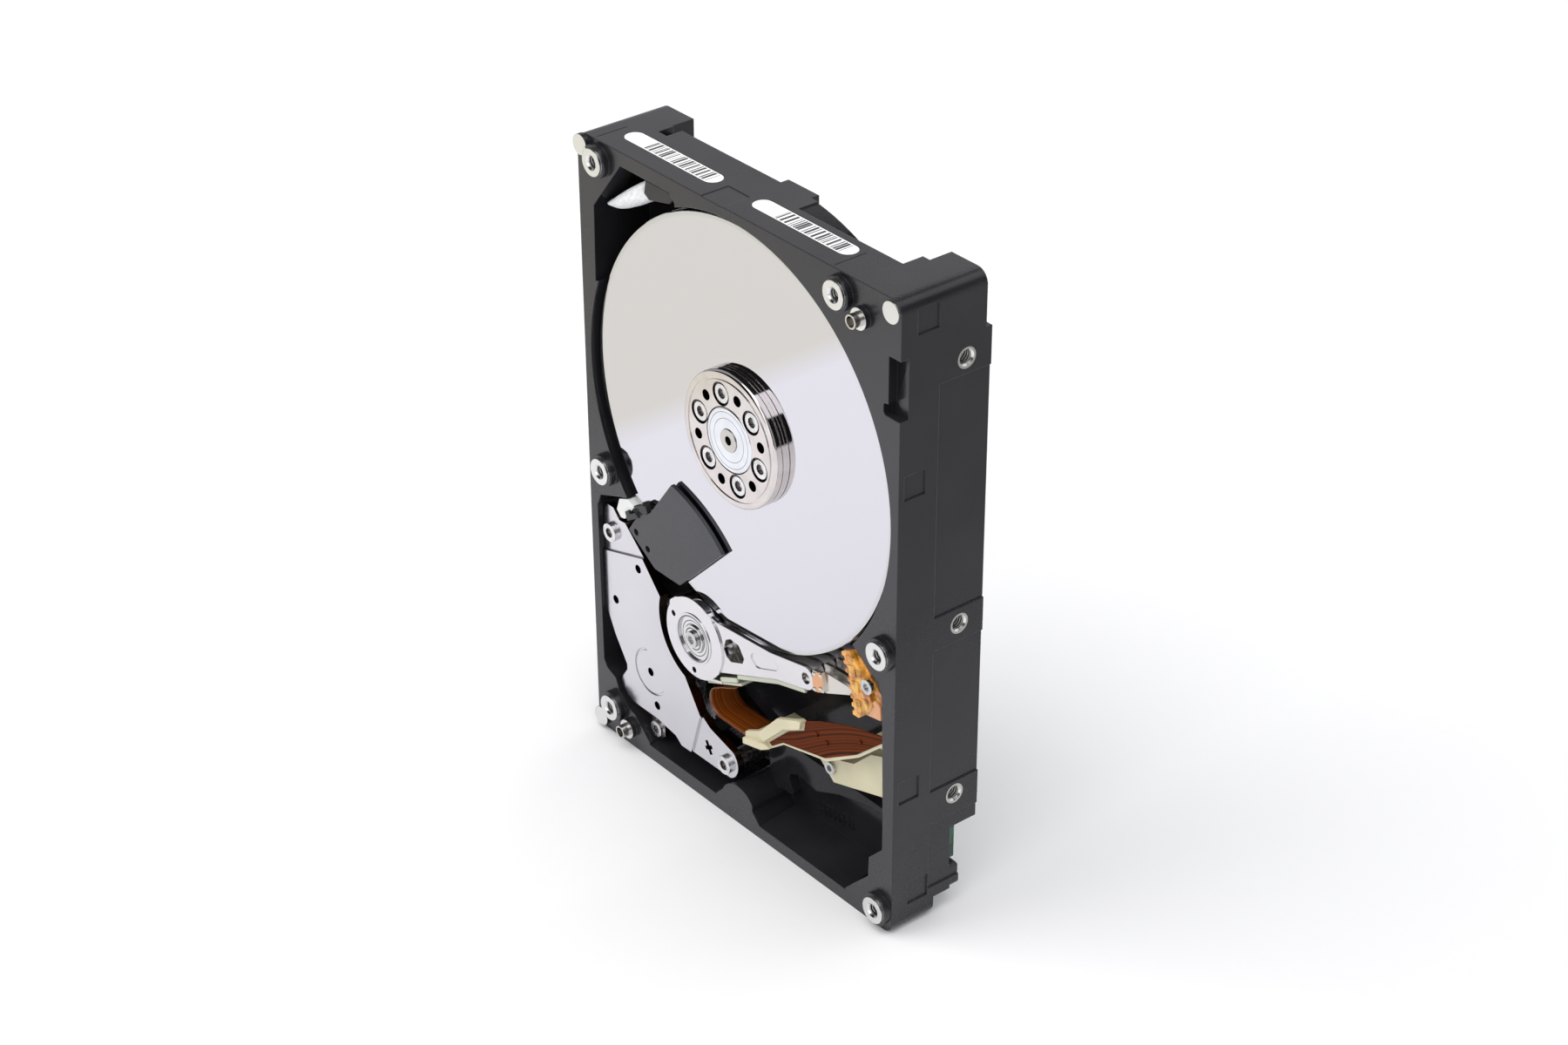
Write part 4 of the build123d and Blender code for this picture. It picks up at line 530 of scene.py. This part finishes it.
# painted shade: the walls of the clamp's counterbores and small holes, which lie between two radii, get a
# dark colour
CLAMP_HOLES = (7.36, 12.9)
clamp = frame["nodes"]["disk_clamp"]
give(clamp, M["clamp_steel"], M["bore_painted_shade"])
for poly in clamp.data.polygons:
    c = poly.center / MM
    r = math.hypot(c.x, c.z - SPIN[1] / MM)
    wall = abs(poly.normal.y) < 0.5 and c.y - RIM < 1.0
    poly.material_index = 1 if wall and CLAMP_HOLES[0] < r < CLAMP_HOLES[1] else 0


def arc(cx, cz, r, a0, a1, n):
    """n + 1 points on an arc between two angles in degrees."""
    turns = [math.radians(a0 + (a1 - a0) * i / n) for i in range(n + 1)]
    return [(cx + r * math.cos(a), cz + r * math.sin(a)) for a in turns]


# painted shade in the screw heads' recesses: the walls within a small radius, just behind the heads'
# faces, get a dark colour
HEADS = {
    "clamp_screws": arc(0, 96.2, 10, 45, 345, 5),
    "yoke_screws": [(-45.4, 52.4), (-5.9, 11.8)],
    "tab_screw": [(-31.5, 7.3)],
}
RECESS_RADIUS = 1.3
RECESS_DEPTH = 0.7
for node, centres in HEADS.items():
    heads = frame["nodes"][node]
    give(heads, M["screw_bright"], M["bore_painted_shade"])
    front = min(v.co.y for v in heads.data.vertices) / MM
    for poly in heads.data.polygons:
        c = poly.center / MM
        wall = abs(poly.normal.y) < 0.5 and c.y < front + RECESS_DEPTH
        poly.material_index = 1 if wall and within(c, centres, RECESS_RADIUS) else 0


# painted shade with a brown painted reflection on the yokes' edge walls, darker than their faces, but not
# on the small bevels
BEVEL_DEPTH = 0.0007
for node in ("upper_yoke", "lower_yoke"):
    yoke = frame["nodes"][node]
    give(yoke, M["yoke_nickel"], M["yoke_edge_painted_shade"])
    me = yoke.data
    for poly in me.polygons:
        ys = [me.vertices[v].co.y for v in poly.vertices]
        poly.material_index = 1 if abs(poly.normal.y) < 0.5 and max(ys) - min(ys) > BEVEL_DEPTH else 0


# ---------------------------------------------------------------- mesh helpers
def add_mesh(name, verts, faces, mat, smooth=False):
    """New object in the scene, with its faces turned outwards."""
    me = bpy.data.meshes.new(name)
    me.from_pydata(verts, [], faces)
    me.update()
    ob = bpy.data.objects.new(name, me)
    bpy.context.collection.objects.link(ob)
    me.materials.append(mat)
    bm = bmesh.new()
    bm.from_mesh(me)
    bmesh.ops.recalc_face_normals(bm, faces=bm.faces)
    bm.to_mesh(me)
    bm.free()
    for p in me.polygons:
        p.use_smooth = smooth
    return ob


def strip(name, path, y0, y1, thick, mat, rows=8):
    """Upright ribbon along a path of (x, z) points in mm, between two y values in mm."""
    n = len(path)
    verts, faces = [], []
    for i, (x, z) in enumerate(path):
        a = path[max(0, i - 1)]
        b = path[min(n - 1, i + 1)]
        t = Vector((b[0] - a[0], b[1] - a[1])).normalized()
        nx, nz = -t.y * thick / 2, t.x * thick / 2
        for side in (1, -1):
            for j in range(rows + 1):
                y = y0 + (y1 - y0) * j / rows
                verts.append(((x + side * nx) * MM, y * MM, (z + side * nz) * MM))
    step = 2 * (rows + 1)
    for i in range(n - 1):
        for side in (0, 1):
            for j in range(rows):
                a = i * step + side * (rows + 1) + j
                faces.append((a, a + 1, a + 1 + step, a + step))
        for j in (0, rows):
            a = i * step + j
            b = a + rows + 1
            faces.append((a, a + step, b + step, b))
    for i in (0, n - 1):
        for j in range(rows):
            a = i * step + j
            b = a + rows + 1
            faces.append((a, a + 1, b + 1, b))
    return add_mesh(name, verts, faces, mat, True)


# ---------------------------------------------------------------- flex loop
loop_path = [(-2.6, 33.2), (-4.9, 32.0), (-7.4, 30.9)] + arc(-8.1, 26.4, 3.6, 108, 270, 18)
loop_path += [(-6.0, 22.8), (-3.5, 22.8), (-1.0, 22.85), (0.8, 22.9)]
loop = strip("flex_loop_film", loop_path, RIM + 1.6, RIM + 9.2, 0.16, M["flex_upright"])
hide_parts("flex_loop")
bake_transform(loop)


# ---------------------------------------------------------------- filter pillow
def smooth_outline(points, per=6):
    """Closed Catmull-Rom curve through the points."""
    out = []
    n = len(points)
    for i in range(n):
        p0, p1, p2, p3 = (Vector(points[(i + k) % n]) for k in (-1, 0, 1, 2))
        for j in range(per):
            t = j / per
            out.append(
                0.5 * (2 * p1 + (p2 - p0) * t + (2 * p0 - 5 * p1 + 4 * p2 - p3) * t * t
                       + (3 * p1 - p0 - 3 * p2 + p3) * t ** 3)
            )
    return out


def pillow(name, outline, d0, d1, mat, body, rows=14, round_part=0.3):
    """Stuffed pad: an outline in XZ from depth d0 to d1 behind the rim, rounded at both ends."""
    pts = smooth_outline(outline)
    cx = sum(p.x for p in pts) / len(pts)
    cz = sum(p.y for p in pts) / len(pts)
    verts, faces = [], []
    n = len(pts)
    for j in range(rows + 1):
        t = j / rows
        e = min(t, 1 - t) / round_part
        s = 1.0 if e >= 1 else math.sqrt(max(0.0, 1 - (1 - e) ** 2)) * 0.72 + 0.28
        for p in pts:
            wob = 1 + 0.012 * math.sin(p.x * 1.9 + j) * math.sin(p.y * 1.3 - 0.7 * j)
            x = cx + (p.x - cx) * s * wob
            z = cz + (p.y - cz) * s * wob
            verts.append((x * MM, (d0 + (d1 - d0) * t + RIM) * MM, z * MM))
    for j in range(rows):
        for i in range(n):
            a, b = j * n + i, j * n + (i + 1) % n
            faces.append((a, b, b + n, a + n))
    for j, bulge in ((0, -0.12), (rows, 0.12)):
        mid = len(verts)
        verts.append((cx * MM, (d0 + (d1 - d0) * j / rows + RIM + bulge) * MM, cz * MM))
        for i in range(n):
            faces.append((j * n + i, j * n + (i + 1) % n, mid))
    ob = add_mesh(name, verts, faces, mat, True)
    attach(ob, body)
    return ob


FILTER = [(-45.3, 131.2), (-42.6, 133.6), (-39.4, 136.1), (-34.2, 139.8), (-29.8, 142.3), (-29.9, 140.2),
          (-28.3, 138.6), (-32.0, 136.0), (-35.8, 133.8), (-40.6, 131.7)]
pad = pillow("filter_pad", FILTER, 1.0, 10.9, M["filter_cloth"], "chassis")
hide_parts("recirculation_filter")


# ---------------------------------------------------------------- small pieces on the actuator and clips
def on_arm(x, y):
    """Point in mm for a place along and across the parked arm, from its pivot."""
    ca, sa = math.cos(ARM), math.sin(ARM)
    return (PIV[0] / MM + x * ca - y * sa, PIV[1] / MM + x * sa + y * ca)


def polar(r, degrees):
    """The same for a distance from the pivot and an angle to the arm."""
    a = math.radians(degrees)
    return on_arm(r * math.cos(a), r * math.sin(a))


def slabs(name, parts, mats, body, bevel):
    """One piece made of flat slabs: (outline in mm, front depth, rear depth, material index) each."""
    verts, faces, index = [], [], []
    for outline, d0, d1, which in parts:
        n = len(outline)
        k = len(verts)
        verts += [(x * MM, (d + RIM) * MM, z * MM) for d in (d0, d1) for x, z in outline]
        new = [tuple(range(k, k + n)), tuple(range(k + n, k + 2 * n))]
        new += [(k + i, k + (i + 1) % n, k + n + (i + 1) % n, k + n + i) for i in range(n)]
        faces += new
        index += [which] * len(new)
    ob = add_mesh(name, verts, faces, mats[0])
    for m in mats[1:]:
        ob.data.materials.append(m)
    for p, i in zip(ob.data.polygons, index):
        p.material_index = i
    edge = ob.modifiers.new("edge", "BEVEL")
    edge.width = bevel
    edge.segments = 2
    edge.limit_method = "ANGLE"
    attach(ob, body)
    return ob


# ramp: toothed cover, shelves in line with the arms, block with ribs and a pale foot
teeth = []
for k in range(15):
    r = 53.75 if k % 2 else 53.1
    teeth += [polar(r, 10.2 - k * 1.0), polar(r, 10.2 - (k + 1) * 1.0)]
COVER_BACK = ((54.7, -4.8), (57.8, -3.2), (60.0, -1.0), (59.4, 2.6), (57.6, 6.6), (55.0, 10.0))
BLOCK = ((57.5, -3.2), (61.6, -4.0), (62.5, 1.8), (60.3, 4.4), (57.9, 8.6), (56.6, 9.2))
FOOT = ((56.2, -3.6), (61.5, -3.9), (62.0, -1.0), (60.6, 0.4), (58.2, -1.2))
SHELF = ((53.3, 1.9), (53.3, 4.0), (53.3, 6.0), (53.3, 8.0), (53.3, 9.8),
         (57.8, 9.8), (57.8, 6.0), (57.8, 1.9))
ARM_PITCH = 3.2
# raised steps on the cover: two corners along and across the arm, and a height
STEPS = ((54.0, 7.9, 55.9, 9.2, 0.35), (54.2, 4.6, 56.2, 7.0, 0.3), (54.4, 1.2, 56.5, 3.6, 0.35),
         (54.3, -3.6, 56.2, -0.6, 0.3), (57.0, -2.2, 58.6, 0.2, 0.25), (56.6, 5.0, 57.9, 6.4, 0.25))
cover = teeth + [on_arm(*p) for p in COVER_BACK]
shelf = [polar(*p) for p in SHELF]
ramp_parts = [(cover, -0.3, 1.0, 0), ([on_arm(*p) for p in BLOCK], 0.5, 14.3, 0)]
ramp_parts += [(shelf, 1.8 + ARM_PITCH * k, 2.1 + ARM_PITCH * k, 0) for k in range(4)]
for x0, y0, x1, y1, h in STEPS:
    corners = [on_arm(x0, y0), on_arm(x1, y0), on_arm(x1, y1), on_arm(x0, y1)]
    ramp_parts.append((corners, -0.3 - h, 0.0, 0))
ramp_parts.append(([on_arm(*p) for p in FOOT], 0.0, 2.4, 1))
ramp_piece = slabs("ramp_comb", ramp_parts, [M["ramp_amber"], M["ramp_peach"]], "chassis", 0.00012)
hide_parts("ramp")

# gimbal tab at the tip of the first arm, with four small lugs
TAB = [(25.1, 52.2), (27.3, 53.3), (28.3, 52.6), (28.3, 49.6),
       (27.3, 48.3), (25.7, 47.8), (25.2, 48.5), (24.9, 50.9)]
tab_parts = [(TAB, 0.05, 0.2, 0)]
for x, z in ((25.5, 52.0), (27.6, 52.6), (27.7, 49.4), (25.7, 48.4)):
    lug = [(x - 0.55, z - 0.4), (x + 0.55, z - 0.25), (x + 0.5, z + 0.45), (x - 0.5, z + 0.3)]
    tab_parts.append((lug, -0.12, 0.1, 1))
tab = slabs("gimbal_tab", tab_parts, [M["copper_tab"], M["beam_steel"]], "actuator", 0.00005)

# solder joints at the root of the cream strip
root = [([(-11.1, 32.6), (-9.9, 33.1), (-9.7, 32.5), (-10.8, 31.9)], 0.0, 0.5, 0),
        ([(-9.7, 32.9), (-5.4, 34.2), (-5.2, 33.5), (-9.5, 32.2)], 0.05, 0.45, 0),
        ([(-5.9, 35.0), (-0.2, 37.6), (0.0, 36.6), (-5.7, 33.9)], 0.1, 0.6, 1)]
joint = slabs("strip_root", root, [M["beam_steel"], M["flexure_cream"]], "actuator", 0.00008)

# black clips on the damper's white retainer
LEFT_CLIP = [(-38.0, 61.6), (-36.6, 62.6), (-36.2, 61.8), (-34.2, 63.0), (-33.0, 62.2), (-37.2, 59.6)]
RIGHT_CLIP = [(-33.4, 65.0), (-31.9, 66.1), (-30.4, 66.3), (-29.8, 64.9), (-30.6, 64.1), (-32.2, 63.8)]
CATCH = [(-35.0, 64.3), (-33.6, 65.1), (-33.2, 64.5), (-34.6, 63.7)]
clips = [(LEFT_CLIP, -0.35, 0.9, 0), (RIGHT_CLIP, -0.35, 0.9, 0), (CATCH, -0.2, 0.9, 0)]
clip = slabs("retainer_clips", clips, [M["plastic_black"]], "chassis", 0.00012)


# ---------------------------------------------------------------- floor, light, camera
def floor_material():
    k = Mat("pale_floor", (0.84, 0.84, 0.85), 0.6)
    k.color(k.mix(k.span(k.noise(3, 2), 0.3, 0.7), (0.83, 0.83, 0.84), (0.86, 0.86, 0.865)))
    return k.done()


FLOOR = [(-3, -3, 0), (3, -3, 0), (3, 3, 0), (-3, 3, 0)]
floor = add_mesh("floor", FLOOR, [(0, 1, 2, 3)], floor_material())

CARD_LIFT = 0.0006       # the cards lie this far above the floor


def card(name, x0, x1, y0, y1, mat):
    """Studio card on the floor that is seen only in reflections."""
    corners = [(x, y, CARD_LIFT) for x, y in ((x0, y0), (x1, y0), (x1, y1), (x0, y1))]
    c = add_mesh(name, corners, [(0, 1, 2, 3)], mat)
    c.visible_camera = False
    c.visible_diffuse = False
    c.visible_shadow = False
    c.visible_transmission = False
    return c


def card_paint(name, rough, x0, x1, left, right):
    """Matt paint that goes from one colour at x0 to another at x1."""
    k = Mat(name, left, rough)
    k.color(k.mix(k.span(k.axis("X"), x0, x1), left, right))
    return k.done()


card("card_left", -1.2, 0.0, -1.2, -0.013,
     card_paint("card_two_tone", 0.7, -0.160, -0.147, (0.735, 0.718, 0.65), (0.845, 0.84, 0.86)))
# painted shade seen in reflections: this card's grey, darker further out, darkens the floor that the side
# faces reflect, most towards their tops
card("card_right", 0.052, 1.3, -0.02, 1.3,
     card_paint("card_dark", 0.8, 0.06, 0.165, (0.7, 0.69, 0.68), (0.385, 0.375, 0.36)))


def area(name, loc, target, size, power, color=(1, 1, 1), glossy=True):
    """Rectangular lamp at loc that faces target."""
    d = bpy.data.lights.new(name, "AREA")
    d.shape = "RECTANGLE"
    d.size, d.size_y = size
    d.energy = power
    d.color = color
    o = bpy.data.objects.new(name, d)
    bpy.context.collection.objects.link(o)
    o.location = loc
    o.rotation_euler = (Vector(target) - Vector(loc)).to_track_quat("-Z", "Y").to_euler()
    o.visible_glossy = glossy
    return o


area("key", (-0.75, -0.95, 1.15), (0, 0, 0.05), (1.3, 1.3), 17, (1.0, 0.99, 0.97), False)
area("top", (0.15, -0.1, 1.5), (0, 0, 0.05), (1.2, 0.9), 8)
area("fill", (1.2, -0.6, 0.7), (0, 0, 0.07), (0.8, 0.8), 4, (0.97, 0.98, 1.0), False)
area("back", (-0.3, 1.2, 0.9), (0, 0, 0.07), (0.9, 0.5), 5)

world = bpy.data.worlds.new("studio")
bpy.context.scene.world = world
world.use_nodes = True
sky = world.node_tree
background = sky.nodes["Background"]
background.inputs["Strength"].default_value = 0.5


def sky_math(op, value, number):
    n = sky.nodes.new("ShaderNodeMath")
    n.operation = op
    sky.links.new(value, n.inputs[0])
    n.inputs[1].default_value = number
    return n.outputs[0]


def sky_ramp(value, stops):
    """Greys at the given positions."""
    n = sky.nodes.new("ShaderNodeValToRGB")
    sky.links.new(value, n.inputs[0])
    while len(n.color_ramp.elements) < len(stops):
        n.color_ramp.elements.new(0.5)
    for e, (pos, v) in zip(n.color_ramp.elements, stops):
        e.position = pos
        e.color = (v, v, v * 1.02, 1)
    return n.outputs[0]


def sky_mix(fac, a, b):
    """a where fac is 0 and b where it is 1. a may be a plain colour."""
    n = sky.nodes.new("ShaderNodeMix")
    n.data_type = "RGBA"
    sky.links.new(fac, n.inputs[0])
    if isinstance(a, tuple):
        n.inputs[6].default_value = a
    else:
        sky.links.new(a, n.inputs[6])
    sky.links.new(b, n.inputs[7])
    return n.outputs[2]


# the room is pale, but dark with bright strips behind the object, and again well in front of it
direction = sky.nodes.new("ShaderNodeSeparateXYZ")
sky.links.new(sky.nodes.new("ShaderNodeTexCoord").outputs["Generated"], direction.inputs[0])
rightward = sky_math("ADD", sky_math("MULTIPLY", direction.outputs["X"], 0.5), 0.5)
backward = direction.outputs["Y"]
BACK_STRIPS = [(0.0, 1.4), (0.21, 1.2), (0.27, 0.03), (0.515, 0.02), (0.535, 1.9),
               (0.76, 1.9), (0.805, 0.02), (0.905, 0.02), (0.925, 1.1), (1.0, 1.1)]
FRONT_STRIPS = [(0.0, 0.03), (0.515, 0.03), (0.53, 2.9), (0.79, 2.9), (0.805, 0.02), (1.0, 0.02)]
behind = sky_ramp(backward, [(0.15, 0.0), (0.4, 1.0)])
ahead = sky_ramp(sky_math("MULTIPLY", backward, -1.0), [(0.3, 0.0), (0.45, 1.0)])
room = sky_mix(behind, (0.97, 0.98, 1.0, 1), sky_ramp(rightward, BACK_STRIPS))
room = sky_mix(ahead, room, sky_ramp(rightward, FRONT_STRIPS))
sky.links.new(room, background.inputs["Color"])

cam = bpy.data.objects.new("camera", bpy.data.cameras.new("camera"))
bpy.context.collection.objects.link(cam)
cam.location = (0.45656, -0.36826, 0.42546)
cam.rotation_euler = (math.radians(58.965), math.radians(0.180), math.radians(50.768))
cam.data.lens = 75.55
cam.data.sensor_width = 36.0
cam.data.clip_start = 0.01
bpy.context.scene.camera = cam
bpy.context.scene.view_settings.view_transform = "Standard"
